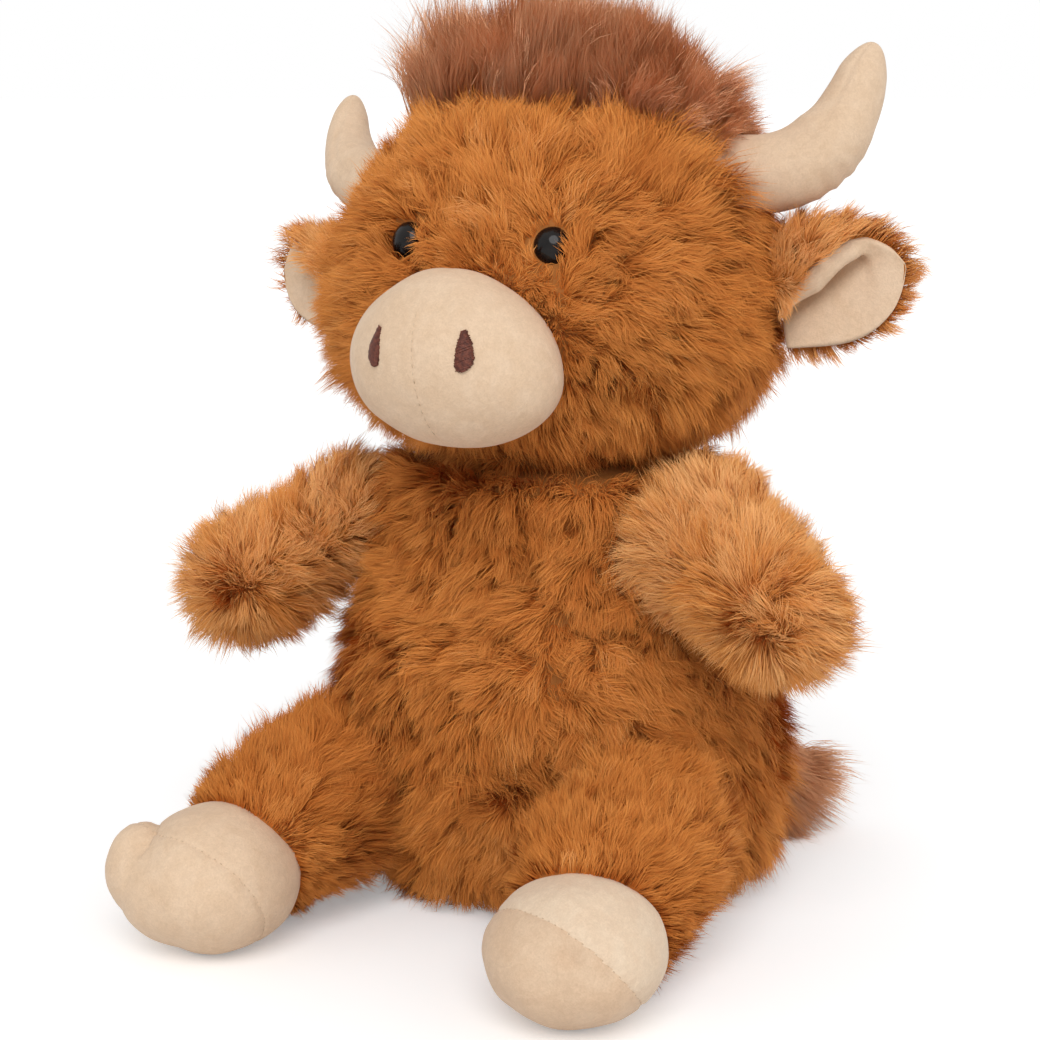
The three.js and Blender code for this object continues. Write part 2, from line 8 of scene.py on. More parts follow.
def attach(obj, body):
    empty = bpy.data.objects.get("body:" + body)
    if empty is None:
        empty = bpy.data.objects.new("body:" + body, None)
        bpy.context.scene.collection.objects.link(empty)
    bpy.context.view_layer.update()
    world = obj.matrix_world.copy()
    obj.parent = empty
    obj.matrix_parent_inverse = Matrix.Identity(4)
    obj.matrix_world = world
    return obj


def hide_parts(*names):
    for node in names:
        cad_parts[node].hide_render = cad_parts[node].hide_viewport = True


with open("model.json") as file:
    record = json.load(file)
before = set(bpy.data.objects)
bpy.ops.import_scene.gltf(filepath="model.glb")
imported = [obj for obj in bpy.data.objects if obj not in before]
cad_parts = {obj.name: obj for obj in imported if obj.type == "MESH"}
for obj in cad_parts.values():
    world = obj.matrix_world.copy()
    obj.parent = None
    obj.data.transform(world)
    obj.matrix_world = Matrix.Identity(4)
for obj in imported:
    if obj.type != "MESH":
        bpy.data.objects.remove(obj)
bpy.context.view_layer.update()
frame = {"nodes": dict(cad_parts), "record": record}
mm = 0.001  # forms are worked out in millimetres, as in the pattern
sides = {"left": 1, "right": -1}


# Camera, floor and light

camera = {"azimuth": 27.4, "elevation": 11.3, "distance": 0.833, "aim": (-0.0137, 0, 0.1358), "lens": 76.7,
          "sensor": 36}
light = {"world": 0.56, "floorLift": 0.27, "paper": 0.9, "floorRadius": 30,
         # azimuth, elevation, power and angle of each
         "suns": {"keyLight": (24, 43, 1.6, 40), "fillLight": (100, 25, 0.25, 60)}}


def feed(tree, node, inputs):
    # gives each input a value, or what another node puts out
    for key, value in inputs.items():
        if isinstance(value, bpy.types.NodeSocket):
            tree.links.new(value, node.inputs[key])
        else:
            node.inputs[key].default_value = value


def addNode(tree, kind, inputs=(), **settings):
    node = tree.nodes.new("ShaderNode" + kind)
    for name, value in settings.items():
        setattr(node, name, value)
    feed(tree, node, dict(inputs))
    return node


def lookFrom(azimuth, elevation):
    a, e = math.radians(azimuth), math.radians(elevation)
    return Vector((math.sin(a) * math.cos(e), -math.cos(a) * math.cos(e), math.sin(e)))


def addToScene(name, data):
    thing = bpy.data.objects.new(name, data)
    bpy.context.scene.collection.objects.link(thing)
    return thing


def setCamera():
    data = bpy.data.cameras.new("studioCamera")
    data.lens = camera["lens"]
    data.sensor_width = camera["sensor"]
    data.sensor_fit = "HORIZONTAL"
    data.clip_start = 0.01
    eye = addToScene("studioCamera", data)
    way = lookFrom(camera["azimuth"], camera["elevation"])
    eye.location = Vector(camera["aim"]) + way * camera["distance"]
    eye.rotation_euler = way.to_track_quat("Z", "Y").to_euler()
    bpy.context.scene.camera = eye


def addSun(name, azimuth, elevation, strength, angle):
    data = bpy.data.lights.new(name, "SUN")
    data.energy = strength
    data.angle = math.radians(angle)
    addToScene(name, data).rotation_euler = lookFrom(azimuth, elevation).to_track_quat("Z", "Y").to_euler()


def whiteToEye(tree):
    # 1 where the camera, a reflection or glass sees the background
    path = addNode(tree, "LightPath").outputs
    most = addNode(tree, "Math", {0: path["Is Camera Ray"], 1: path["Is Glossy Ray"]}, operation="MAXIMUM")
    return addNode(tree, "Math", {0: most.outputs[0], 1: path["Is Transmission Ray"]},
                   operation="MAXIMUM").outputs[0]


def setStudio():
    world = bpy.data.worlds.new("studioWorld")
    bpy.context.scene.world = world
    world.use_nodes = True
    tree = world.node_tree
    level = addNode(tree, "MapRange", {"To Min": light["world"], "To Max": 1, "Value": whiteToEye(tree)})
    feed(tree, tree.nodes["Background"], {"Color": (1, 1, 1, 1), "Strength": level.outputs["Result"]})
    for name, values in light["suns"].items():
        addSun(name, *values)

    bpy.ops.mesh.primitive_circle_add(vertices=96, radius=light["floorRadius"], fill_type="NGON")
    floor = bpy.context.object
    floor.name = "studio_floor"
    paper = bpy.data.materials.new("whitePaper")
    paper.use_nodes = True
    tree = paper.node_tree
    tree.nodes.clear()
    diffuse = addNode(tree, "BsdfDiffuse", {"Color": (*[light["paper"]] * 3, 1)})
    strength = addNode(tree, "Math", {0: whiteToEye(tree), 1: light["floorLift"]}, operation="MULTIPLY")
    lift = addNode(tree, "Emission", {"Strength": strength.outputs[0]})
    both = addNode(tree, "AddShader", {0: diffuse.outputs[0], 1: lift.outputs[0]})
    addNode(tree, "OutputMaterial", {"Surface": both.outputs[0]})
    floor.data.materials.append(paper)


setCamera()
setStudio()
bpy.context.scene.view_settings.view_transform = "Standard"
print("camera, floor and light are set")


# Materials

def newMaterial(name, roughness, specular):
    material = bpy.data.materials.new(name)
    material.use_nodes = True
    tree = material.node_tree
    principled = tree.nodes["Principled BSDF"]
    feed(tree, principled, {"Roughness": roughness, "Specular IOR Level": specular})
    return material, tree, principled


def rampOf(tree, factor, stops):
    ramp = addNode(tree, "ValToRGB", {"Fac": factor})
    while len(ramp.color_ramp.elements) < len(stops):
        ramp.color_ramp.elements.new(0.5)
    for element, (place, colour) in zip(ramp.color_ramp.elements, stops):
        element.position = place
        element.color = (*colour, 1)
    return ramp.outputs["Color"]


def rangeOf(tree, value, low, high):
    return addNode(tree, "MapRange", {"To Min": low, "To Max": high, "Value": value}).outputs["Result"]


def noiseOf(tree, scale):
    place = addNode(tree, "TexCoord").outputs["Object"]
    return addNode(tree, "TexNoise", {"Scale": scale, "Detail": 2, "Vector": place}).outputs["Fac"]


def multiplied(tree, a, b):
    return addNode(tree, "Mix", {"Factor": 1.0, "A": a, "B": b}, data_type="RGBA",
                   blend_type="MULTIPLY").outputs["Result"]


# Nap of short pile: brushed patches, flecks and a fine grain to bump
def makeNapGroup():
    group = bpy.data.node_groups.new("brushedNap", "ShaderNodeTree")
    for name, value in (("Patch Size", 0.012), ("Grain Size", 0.0006)):
        group.interface.new_socket(name, in_out="INPUT", socket_type="NodeSocketFloat").default_value = value
    for name in ("Patches", "Flecks", "Height"):
        group.interface.new_socket(name, in_out="OUTPUT", socket_type="NodeSocketFloat")
    start = group.nodes.new("NodeGroupInput").outputs
    place = addNode(group, "TexCoord").outputs["Object"]

    def grain(size, detail, times, distortion):
        over = addNode(group, "Math", {0: times, 1: start[size]}, operation="DIVIDE").outputs[0]
        return addNode(group, "TexNoise", {"Detail": detail, "Distortion": distortion, "Vector": place,
                                           "Scale": over}).outputs["Fac"]

    fine = grain("Grain Size", 2, 1, 0.3)
    coarse = grain("Grain Size", 3, 0.28, 0.8)
    flecks = addNode(group, "Math", {0: fine, 1: coarse}, operation="MULTIPLY")
    height = addNode(group, "Math", {0: fine, 1: 0.6, 2: coarse}, operation="MULTIPLY_ADD")
    feed(group, group.nodes.new("NodeGroupOutput"), {
        "Patches": grain("Patch Size", 3, 1, 1.2), "Flecks": flecks.outputs[0], "Height": height.outputs[0]})
    return group


napGroup = makeNapGroup()


def makeVelboa(name, pale, shade):
    material, tree, principled = newMaterial(name, 0.85, 0.2)
    nap = addNode(tree, "Group", node_tree=napGroup).outputs
    base = rampOf(tree, nap["Patches"], [(0.34, shade), (0.66, pale)])
    flecks = rampOf(tree, nap["Flecks"], [(0.12, (0.9, 0.885, 0.87)), (0.4, (1.02, 1.02, 1.02))])
    bump = addNode(tree, "Bump", {"Strength": 0.55, "Distance": 0.00035, "Height": nap["Height"]})
    feed(tree, principled, {
        "Sheen Weight": 0.12, "Sheen Roughness": 0.5, "Base Color": multiplied(tree, base, flecks),
        "Roughness": rangeOf(tree, nap["Flecks"], 0.75, 0.95), "Normal": bump.outputs["Normal"]})
    return material


# Strands take their colour from their own map: tone from left to right, root to tip upwards; painted shade
# darkens the roots and a painted highlight lightens the tips
def makeStrands(name, tones, rootPaintedShade, tipPaintedHighlight):
    material, tree, principled = newMaterial(name, 0.65, 0.1)
    place = addNode(tree, "UVMap", uv_map="OFBake")
    split = addNode(tree, "SeparateXYZ", {0: place.outputs["UV"]}).outputs
    tone = rampOf(tree, split["X"], tones)
    # painted shade at the roots, where tufts shade each other, and a painted highlight at the tips
    along = rampOf(tree, split["Y"], [(0.0, rootPaintedShade), (0.5, (0.92, 0.87, 0.82)), (1.0, tipPaintedHighlight)])
    feed(tree, principled, {"Base Color": multiplied(tree, tone, along)})
    return material


def makeBacking(name, dark, pale):
    material, tree, principled = newMaterial(name, 0.9, 0.1)
    nap = addNode(tree, "Group", {"Patch Size": 0.006}, node_tree=napGroup).outputs
    feed(tree, principled, {"Base Color": rampOf(tree, nap["Patches"], [(0.3, dark), (0.7, pale)])})
    return material


def makeThread(name, dark, pale, roughness):
    material, tree, principled = newMaterial(name, roughness, 0.4)
    feed(tree, principled, {"Base Color": rampOf(tree, noiseOf(tree, 900), [(0.35, dark), (0.65, pale)])})
    return material


def makeEyeGloss():
    material, tree, principled = newMaterial("eyeGloss", 0.08, 0.22)
    haze = noiseOf(tree, 260)
    colour = rampOf(tree, haze, [(0.3, (0.004, 0.0035, 0.0035)), (0.7, (0.012, 0.009, 0.008))])
    feed(tree, principled, {"Base Color": colour, "Roughness": rangeOf(tree, haze, 0.05, 0.14)})
    return material


caramelPile = makeStrands(
    "caramelPile",
    [(0.0, (0.42, 0.108, 0.017)), (0.3, (0.61, 0.192, 0.034)), (0.65, (0.79, 0.305, 0.068)),
     (1.0, (0.96, 0.52, 0.2))],
    # painted shade for the caramel roots and a painted highlight for its tips
    (0.74, 0.48, 0.26), (1.1, 1.15, 1.26))
auburnPile = makeStrands(
    "auburnPile",
    [(0.0, (0.52, 0.24, 0.115)), (0.35, (0.74, 0.37, 0.19)), (0.65, (0.86, 0.47, 0.265)),
     (1.0, (0.94, 0.61, 0.39))],
    # painted shade for the auburn roots and a painted highlight for its tips
    (0.74, 0.6, 0.52), (1.08, 1.12, 1.16))
caramelBacking = makeBacking("caramelBacking", (0.37, 0.137, 0.032), (0.47, 0.18, 0.048))
auburnBacking = makeBacking("auburnBacking", (0.3, 0.11, 0.05), (0.4, 0.15, 0.07))
creamVelboa = makeVelboa("creamVelboa", (0.77, 0.575, 0.405), (0.73, 0.53, 0.36))
# lit and shaded copies of the cream velboa: painted light for the left hoof's upper, painted shade for its
# sole
paintedLitVelboa = makeVelboa("paintedLitVelboa", (0.80, 0.635, 0.47), (0.77, 0.59, 0.425))
paintedShadeVelboa = makeVelboa("paintedShadeVelboa", (0.735, 0.54, 0.375), (0.69, 0.49, 0.33))
creamThread = makeThread("creamThread", (0.52, 0.38, 0.25), (0.66, 0.50, 0.35), 0.6)
brownThread = makeThread("brownThread", (0.075, 0.016, 0.008), (0.17, 0.045, 0.024), 0.55)
eyeGloss = makeEyeGloss()
whiteNylon = makeThread("whiteNylon", (0.72, 0.71, 0.67), (0.8, 0.79, 0.75), 0.45)

# Each cloth or pile, paired with a slot name that is unpacked but not used
caramelFur, auburnFur = (caramelPile, "long_pile"), (auburnPile, "auburn_pile")
caramelCloth, auburnCloth = (caramelBacking, "long_pile"), (auburnBacking, "auburn_pile")
neckCloth, blackPlastic = (caramelBacking, "fibre_fill"), (eyeGloss, "eye_plastic")
creamCloth = (creamVelboa, "cream_velboa")
paintedLitCloth = (paintedLitVelboa, "cream_velboa")
paintedShadeCloth = (paintedShadeVelboa, "cream_velboa")
creamSeam, brownSatin = (creamThread, "cream_velboa"), (brownThread, "brown_thread")
print("materials are made")


# Making meshes

def smoothLine(points, count):
    # a curve through the points, evenly spaced along its length
    p = np.array(points, float)
    held = np.vstack([p[:1], p, p[-1:]])
    t = np.linspace(0, len(p) - 1, 60 * (len(p) - 1) + 1)
    i = np.minimum(t.astype(int), len(p) - 2)
    f = (t - i)[:, None]
    a, b, c, d = held[i], held[i + 1], held[i + 2], held[i + 3]
    line = 0.5 * (2 * b + (c - a) * f + (2 * a - 5 * b + 4 * c - d) * f ** 2
                  + (3 * b - a - 3 * c + d) * f ** 3)
    run = lengthAlong(line)
    return placesAlong(line, run, np.linspace(0, run[-1], count))


def closedSkin(start, loops, end):
    rings, around = loops.shape[:2]
    points = np.vstack([start, loops.reshape(-1, 3), end])
    at = 1 + np.arange(rings * around).reshape(rings, around)
    nextAt = np.roll(at, -1, axis=1)
    quads = np.stack([at[:-1], nextAt[:-1], nextAt[1:], at[1:]], -1).reshape(-1, 4).tolist()
    first = [(0, b, a) for a, b in zip(at[0], nextAt[0])]
    last = [(a, b, len(points) - 1) for a, b in zip(at[-1], nextAt[-1])]
    return points, first + quads + last


def circle(count):
    return np.linspace(0, 2 * np.pi, count, endpoint=False)


def swell(profile, around, rings, depth=1.0, shift=lambda height: 0 * height):
    line = smoothLine(profile, rings + 2)
    turn = circle(around)
    radius, height = line[1:-1, :1], line[1:-1, 1:]
    x = radius * np.cos(turn)
    y = radius * depth * np.sin(turn) + shift(height)
    loops = np.stack([x, y, height + 0 * x], -1)
    ends = [(0, float(shift(line[k, 1])), line[k, 1]) for k in (0, -1)]
    return closedSkin(ends[0], loops, ends[1])


def unit(vectors):
    return vectors / np.maximum(np.linalg.norm(vectors, axis=-1, keepdims=True), 1e-9)


def near(points, spot, spread):
    # 1 at a spot, less and less around it
    return np.exp(-((points - np.array(spot)) ** 2).sum(1) / spread)


def distance(points, spot):
    return np.linalg.norm(points - np.array(spot), axis=1)


def rimOf(points, middle, half):
    # 1 on the surface of an ellipsoid, more outside it
    return np.sqrt((((points - middle) / half) ** 2).sum(1))


def ringOf(a, b, turn):
    return a[:, None] * np.cos(turn)[None, :, None] + b[:, None] * np.sin(turn)[None, :, None]


def lengthAlong(path):
    return np.r_[0, np.cumsum(np.linalg.norm(np.diff(path, axis=0), axis=1))]


def placesAlong(path, run, at):
    return np.stack([np.interp(at, run, path[:, k]) for k in range(path.shape[1])], 1)


def gridFaces(at):
    return np.stack([at[:-1, :-1], at[1:, :-1], at[1:, 1:], at[:-1, 1:]], -1).reshape(-1, 4).tolist()


def alongWay(points, origin, way):
    z = unit(np.array(way, float))
    x = unit(np.cross((0, 0, 1), z))
    return points @ np.array([x, np.cross(z, x), z]) + np.array(origin)


def softLumps(points, size, amount, seed=0):
    # soft unevenness of stuffing, the same on each run
    return np.array([noise.noise(Vector(p) / size + Vector((seed * 7.3, 0, 0))) for p in points]) * amount


def lumpy(points, size, amount, seed=0):
    return points + unit(points - points.mean(0)) * softLumps(points, size, amount, seed)[:, None]


def addMesh(name, points, faces, cloth, body):
    material, slot = cloth
    mesh = bpy.data.meshes.new(name)
    mesh.from_pydata((np.asarray(points) * mm).tolist(), [], [tuple(int(i) for i in face) for face in faces])
    mesh.polygons.foreach_set("use_smooth", [True] * len(mesh.polygons))
    mesh.materials.append(material)
    piece = addToScene(name, mesh)
    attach(piece, body)
    return piece


def thicken(piece, thickness, offset=-1):
    cloth = piece.modifiers.new("cloth", "SOLIDIFY")
    cloth.thickness = thickness
    cloth.offset = offset


def wayOf(turn, drop):
    # a direction, turned from the left side towards the back
    turn, drop = math.radians(turn), math.radians(drop)
    return np.array([math.cos(drop) * math.cos(turn), math.cos(drop) * math.sin(turn), -math.sin(drop)])


def mirrorX(points, sign):
    return np.asarray(points) * np.array([sign, 1, 1])


def turnFaces(faces, sign):
    return faces if sign > 0 else [tuple(reversed(face)) for face in faces]


# Long pile: every strand is a narrow tapered blade of its own, combed, clumped and curled

def flow(points, wave, seed, count=7):
    # a smooth field of directions
    rng = np.random.default_rng(seed)
    ways = unit(rng.normal(size=(count, 3))) * (2 * np.pi / (wave * rng.uniform(0.7, 1.6, (count, 1))))
    pushes = unit(rng.normal(size=(count, 3)))
    phases = rng.uniform(0, 2 * np.pi, count)
    return np.sin(points @ ways.T + phases) @ pushes * (1.6 / math.sqrt(count))


def clumpOf(points, cell, seed):
    # which tuft a root belongs to: the nearest of scattered centres, one in each cell
    grid = np.floor(points / cell).astype(np.int64)
    best = np.full(len(points), np.inf)
    found = np.zeros(len(points), np.int64)
    for step in np.ndindex(3, 3, 3):
        cells = grid + np.array(step) - 1
        key = seed * 2654435761  # scrambles the cell's three numbers into one
        for k, prime in enumerate((73856093, 19349663, 83492791)):
            key = key ^ (cells[:, k] * prime)
        key &= 0x7FFFFFFF
        spot = [((key * (1103515245 + 2 * k) + 12345 * (k + 1)) >> 8 & 0xFFFF) / 65535 for k in range(3)]
        gap = (((cells + np.stack(spot, 1)) * cell - points) ** 2).sum(1)
        closer = gap < best
        best[closer] = gap[closer]
        found[closer] = key[closer]
    return np.unique(found, return_inverse=True)[1].ravel()


def groupMean(values, group):
    count = np.bincount(group)
    return np.stack([np.bincount(group, values[:, k]) / count for k in range(values.shape[1])], 1)


def rootsOn(piece, perSquare, seed):
    mesh = piece.data
    mesh.calc_loop_triangles()

    def listOf(items, what, kind):
        values = np.empty(len(items) * 3, kind)
        items.foreach_get(what, values)
        return values.reshape(-1, 3)

    corner = listOf(mesh.loop_triangles, "vertices", np.int32)
    place, facing = listOf(mesh.vertices, "co", np.float32) / mm, listOf(mesh.vertices, "normal", np.float32)
    a, b, c = (place[corner[:, k]] for k in range(3))
    area = np.linalg.norm(np.cross(b - a, c - a), axis=1) / 2
    rng = np.random.default_rng(seed)
    pick = rng.choice(len(area), int(area.sum() * perSquare), p=area / area.sum())
    s, t = rng.random(len(pick)), rng.random(len(pick))
    over = s + t > 1
    s[over], t[over] = 1 - s[over], 1 - t[over]
    share = np.stack([1 - s - t, s, t], 1)[:, :, None]
    return (place[corner[pick]] * share).sum(1), unit((facing[corner[pick]] * share).sum(1))


toneColumns = 48


def layStrands(rng, roots, normals, comb, look, seed, lengthAt, leanAt):
    # each strand's line from its root to its tip, and its tone
    n, steps = len(roots), look["steps"]
    way = comb(roots, normals) + look["swirl"] * flow(roots, look["swirlSize"], seed)
    way = unit(way - normals * (way * normals).sum(1, keepdims=True))
    across = np.cross(normals, way)

    tufts = [clumpOf(roots, size, seed + k) for k, (size, pull, turn) in enumerate(look["tufts"])]
    turned = rng.normal(0, look["stray"], n)
    toneShift = rng.normal(0, look["toneStrand"], n)
    leanShift = rng.normal(0, 0.12, n)
    grow = 1 + look["spread"] * rng.normal(0, 0.5, n).clip(-1.6, 1.2)
    for tuft, (size, pull, turn) in zip(tufts, look["tufts"]):
        many = tuft.max() + 1
        turned += rng.normal(0, turn, many)[tuft]
        toneShift += rng.normal(0, look["toneTuft"], many)[tuft]
        leanShift += rng.normal(0, look["rise"], many)[tuft]
        grow *= (1 + look["spread"] * rng.normal(0, 0.35, many)[tuft]).clip(0.6, 1.35)
    cos, sin = np.cos(turned)[:, None], np.sin(turned)[:, None]
    way, across = way * cos + across * sin, across * cos - way * sin
    length = look["length"] * grow * lengthAt(roots)

    share = np.linspace(0, 1, steps + 1)
    low, high = (math.radians(a) for a in look["lean"])
    bow = leanAt(roots)
    curl = rng.normal(0, look["curl"], n) + rng.normal(0, look["curl"], tufts[-1].max() + 1)[tufts[-1]]
    line = [roots]
    for k in range(steps):
        lean = bow * (low + (high - low) * (share[k] + 0.5 / steps) ** 0.8) + leanShift * (0.4 + share[k])
        bend = curl * math.sin(math.pi * 1.3 * (share[k] + 0.2))
        heading = normals * np.cos(lean)[:, None] + way * np.sin(lean)[:, None] + across * bend[:, None]
        heading[:, 2] -= look["droop"] * share[k + 1] ** 2
        line.append(line[-1] + unit(heading) * (length / steps)[:, None])
    line = np.stack(line, 1)
    held = rng.uniform(0.3, 1.15, n)[:, None]  # some strands stay loose between the tufts
    for tuft, (size, pull, turn) in zip(tufts, look["tufts"]):
        offset = (groupMean(roots, tuft)[tuft] - roots) * held
        line += pull * (share[None, :, None] ** 1.2) * offset[:, None, :]
    line[:, :, 2] = np.maximum(line[:, :, 2], 0.25 + 0.5 * rng.random(n)[:, None])
    tone = look["tone"] + toneShift + look["toneDrift"] * flow(roots, 55, seed + 5)[:, 0]
    return line, tone.clip(0, 0.999)


def cutBlades(rng, line, normals, look):
    # a narrow blade along each line, lit as one soft surface more than strand by strand
    n, share = len(line), np.linspace(0, 1, look["steps"] + 1)
    heading = unit(np.gradient(line, axis=1))
    side = unit(np.cross(heading, normals[:, None, :] + 0.001))
    facing = np.cross(side, heading)
    roll = rng.normal(0, look["roll"], n)[:, None, None]
    side = side * np.cos(roll) + facing * np.sin(roll)
    width = look["width"] * (1 + 0.3 * rng.normal(0, 0.6, n).clip(-1, 1))[:, None]
    half = side[:, :-1] * (width * (1 - 0.55 * share[None, :-1] ** 2) / 2)[:, :, None]
    lit = unit(look["soft"] * normals[:, None, :] + (1 - look["soft"]) * unit(np.cross(side, heading)))
    lit = np.concatenate([np.repeat(lit[:, :-1], 2, axis=1), lit[:, -1:]], 1)
    edges = np.stack([line[:, :-1] - half, line[:, :-1] + half], 2).reshape(n, -1, 3)
    return np.concatenate([edges, line[:, -1:]], 1), lit


def bladeMesh(name, blades, lit, column, steps):
    # every blade is a row of quads that ends in a triangle
    count, perBlade = blades.shape[:2]
    quads = [i for k in range(0, 2 * steps - 2, 2) for i in (k, k + 1, k + 3, k + 2)]
    corners = np.array(quads + [2 * steps - 2, 2 * steps - 1, 2 * steps])
    u = np.array([-0.32, 0.32] * steps + [0])
    v = np.append(np.repeat(0.03 + 0.94 * np.linspace(0, 1, steps + 1)[:-1], 2), 0.97)
    blade = np.arange(count, dtype=np.int32)[:, None]
    starts = blade * len(corners) + 4 * np.arange(steps, dtype=np.int32)
    mesh = bpy.data.meshes.new(name)
    mesh.vertices.add(count * perBlade)
    mesh.vertices.foreach_set("co", (blades * mm).astype(np.float32).ravel())
    mesh.loops.add(count * len(corners))
    mesh.loops.foreach_set("vertex_index", (blade * perBlade + corners).astype(np.int32).ravel())
    mesh.polygons.add(count * steps)
    mesh.polygons.foreach_set("loop_start", starts.ravel())
    mesh.polygons.foreach_set("use_smooth", np.ones(count * steps, bool))
    mesh.update(calc_edges=True)
    normal = mesh.attributes.new("custom_normal", "FLOAT_VECTOR", "POINT")
    normal.data.foreach_set("vector", lit.astype(np.float32).ravel())
    uv = np.empty((count, len(corners), 2), np.float32)
    uv[:, :, 0] = column[:, None] + u[corners] / toneColumns
    uv[:, :, 1] = v[corners]
    mesh.uv_layers.new(name="OFBake").data.foreach_set("uv", uv.ravel())
    return mesh


def growPile(name, roots, normals, comb, look, seed, cloth, body, lengthAt=lambda points: 1, split=None,
             leanAt=lambda points: 1):
    material, slot = cloth
    look = dict(coatLook, **look)
    rng = np.random.default_rng(seed)
    line, tone = layStrands(rng, roots, normals, comb, look, seed, lengthAt, leanAt)
    blades, lit = cutBlades(rng, line, normals, look)
    column = (np.floor(tone * toneColumns) + 0.5) / toneColumns
    group = np.zeros(len(roots), int) if split is None else split(roots)
    parts, counts = np.unique(group, return_counts=True)
    for part in parts:
        chosen = np.flatnonzero(group == part)
        mesh = bladeMesh(name, blades[chosen], lit[chosen], column[chosen], look["steps"])
        mesh.materials.append(material)
        piece = addToScene(name if split is None else f"{name}_{'abcdefghijk'[part]}", mesh)
        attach(piece, body)
    print(f"{name}: {len(roots)} strands in {len(parts)} pieces, at most {counts.max()} in one")


def sectors(count, centre=(0, 0)):
    # splits a pile into upright sectors, so that no piece grows too large
    def split(points):
        turn = np.arctan2(points[:, 1] - centre[1], points[:, 0] - centre[0]) / (2 * np.pi) % 1
        return np.minimum((turn * count).astype(int), count - 1)
    return split


# What all long pile has, unless a piece says otherwise; each tuft is its size, how far it draws its strands
# together and how far it turns them
coatLook = {
    "length": 13, "spread": 0.3, "width": 0.235, "steps": 3, "lean": (9, 60), "curl": 0.18, "droop": 0.15,
    "tufts": [(9.0, 0.2, 0.45), (4.0, 0.45, 0.32)], "rise": 0.16, "stray": 0.15, "swirl": 0.55,
    "swirlSize": 55, "roll": 0.6, "soft": 0.64, "tone": 0.485, "toneTuft": 0.05, "toneStrand": 0.075,
    "toneDrift": 0.05,
}
density = 4.4  # strands on a square millimetre


# Torso: a pear of long pile with a pellet bag in its seat

torso = {
    "profile": [(0, 7), (55, 7), (75, 19.5), (80, 52), (74.5, 88), (63.5, 118), (59.5, 143), (52.5, 160),
                (0, 166)],
    "halfDepth": 71, "setBack": 8, "neckHeight": 166,
    "pileTop": 159, "seatRadius": 52, "rootRadius": 15,  # no hair above, on the seat or round a limb's root
    "whorl": (17, -69, 44),
}


def torsoShift(height):
    s = np.clip(np.asarray(height, float) / torso["neckHeight"], 0, 1)
    return torso["setBack"] * (1 - s * s * (3 - 2 * s))


torsoDepth = torso["halfDepth"] / 80


def inTorso(points):
    # whether a root lies more than 2 mm inside the torso
    line = smoothLine(torso["profile"], 80)
    radius = np.maximum(np.interp(points[:, 2], line[:, 1], line[:, 0], left=0, right=0) - 2, 1e-6)
    y = points[:, 1] - torsoShift(points[:, 2])
    return (points[:, 0] / radius) ** 2 + (y / (radius * torsoDepth)) ** 2 < 1


joints = {joint["name"]: joint for joint in frame["record"]["behaviour"]["joints"]}


def pivotOf(name):
    return np.array(joints[name]["pos_m"]) / mm


def away(points, spot, reach, weight):
    # hair that turns away from a spot
    gap = points - np.array(spot)
    return weight * unit(gap) * np.exp(-(gap ** 2).sum(1, keepdims=True) / (2 * reach ** 2))


def torsoComb(points, normals):
    way = np.tile([0.0, 0.0, -1.0], (len(points), 1))
    way[:, 0] += 0.25 * np.sin(points[:, 2] / 21) + 0.004 * points[:, 0]
    way += away(points, torso["whorl"], 15, 3.0)
    return way


def makeTorso():
    points, faces = swell(torso["profile"], 96, 72, torsoDepth, torsoShift)
    points = lumpy(points, 34, 2.2)
    points[:, 2] = np.maximum(points[:, 2], 1.2)
    skin = addMesh("torso_pelt_skin", points, faces, caramelCloth, "torso")
    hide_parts("torso_pelt", "torso_stuffing", "seat_pellet_bag")

    roots, normals = rootsOn(skin, density, 11)
    keep = np.hypot(roots[:, 0], roots[:, 1] - torso["setBack"]) > torso["seatRadius"]
    keep = (keep | (normals[:, 2] > -0.8)) & (roots[:, 2] < torso["pileTop"])
    for name in ("arm_left_raise", "arm_right_raise", "leg_left_lift", "leg_right_lift"):
        keep &= distance(roots, pivotOf(name)) > torso["rootRadius"]
    growPile("torso_pile", roots[keep], normals[keep], torsoComb, {}, 21, caramelFur, "torso",
             lambda points: np.clip((170 - points[:, 2]) / 14, 0.5, 1), sectors(11, (0, 4)),
             lambda points: 1 - 0.8 * near(points, torso["whorl"], 200))


makeTorso()


# Head

head = {
    "profile": [(0, 168), (54, 178), (78, 210), (71, 252), (56, 270), (44, 279), (0, 283)],
    "halfDepth": 67, "muzzle": (0.8, -76, 206.5), "muzzleHalf": (37, 29, 30),
    "eyeSpread": 31, "eyeHeight": 246, "eyeTurn": 19, "eyeTilt": 15, "eyeDepth": 10.4, "eyeClear": 6.9,
    "neckRadius": 44, "drawnIn": (-56, -22, 258),  # drawn in where the right horn is sewn on
    "cheekWhorl": (55, -49, 197), "browWhorl": (25, -50, 266), "slimCheek": (-78, -22, 205),
    "look": {"length": 13, "lean": (14, 66), "swirl": 0.4, "tone": 0.49},
}
neck = {"radius": 38, "height": 166, "flat": 0.5, "pile": (165, 9),
        # a darker tone, painted shade under the head
        "look": {"length": 11, "lean": (10, 50), "tone": 0.4}}
headOuter = [(0, 157), (66, 171), (88, 208), (78, 255), (52, 284), (0, 289)]  # over the tips of its pile
headOuterDepth = 76 / 88
headDepth = head["halfDepth"] / 79


def eyeSeat(sign):
    # the middle of an eye's back, sunk into the coat, and the way it looks
    out = mirrorX(wayOf(head["eyeTurn"] - 90, -head["eyeTilt"]), sign)
    line = smoothLine(headOuter, 120)
    x, z = head["eyeSpread"], head["eyeHeight"]
    radius = np.interp(z, line[:, 1], line[:, 0])
    face = np.array([sign * x, -headOuterDepth * math.sqrt(radius ** 2 - x ** 2), z])
    return face - out * head["eyeDepth"], out


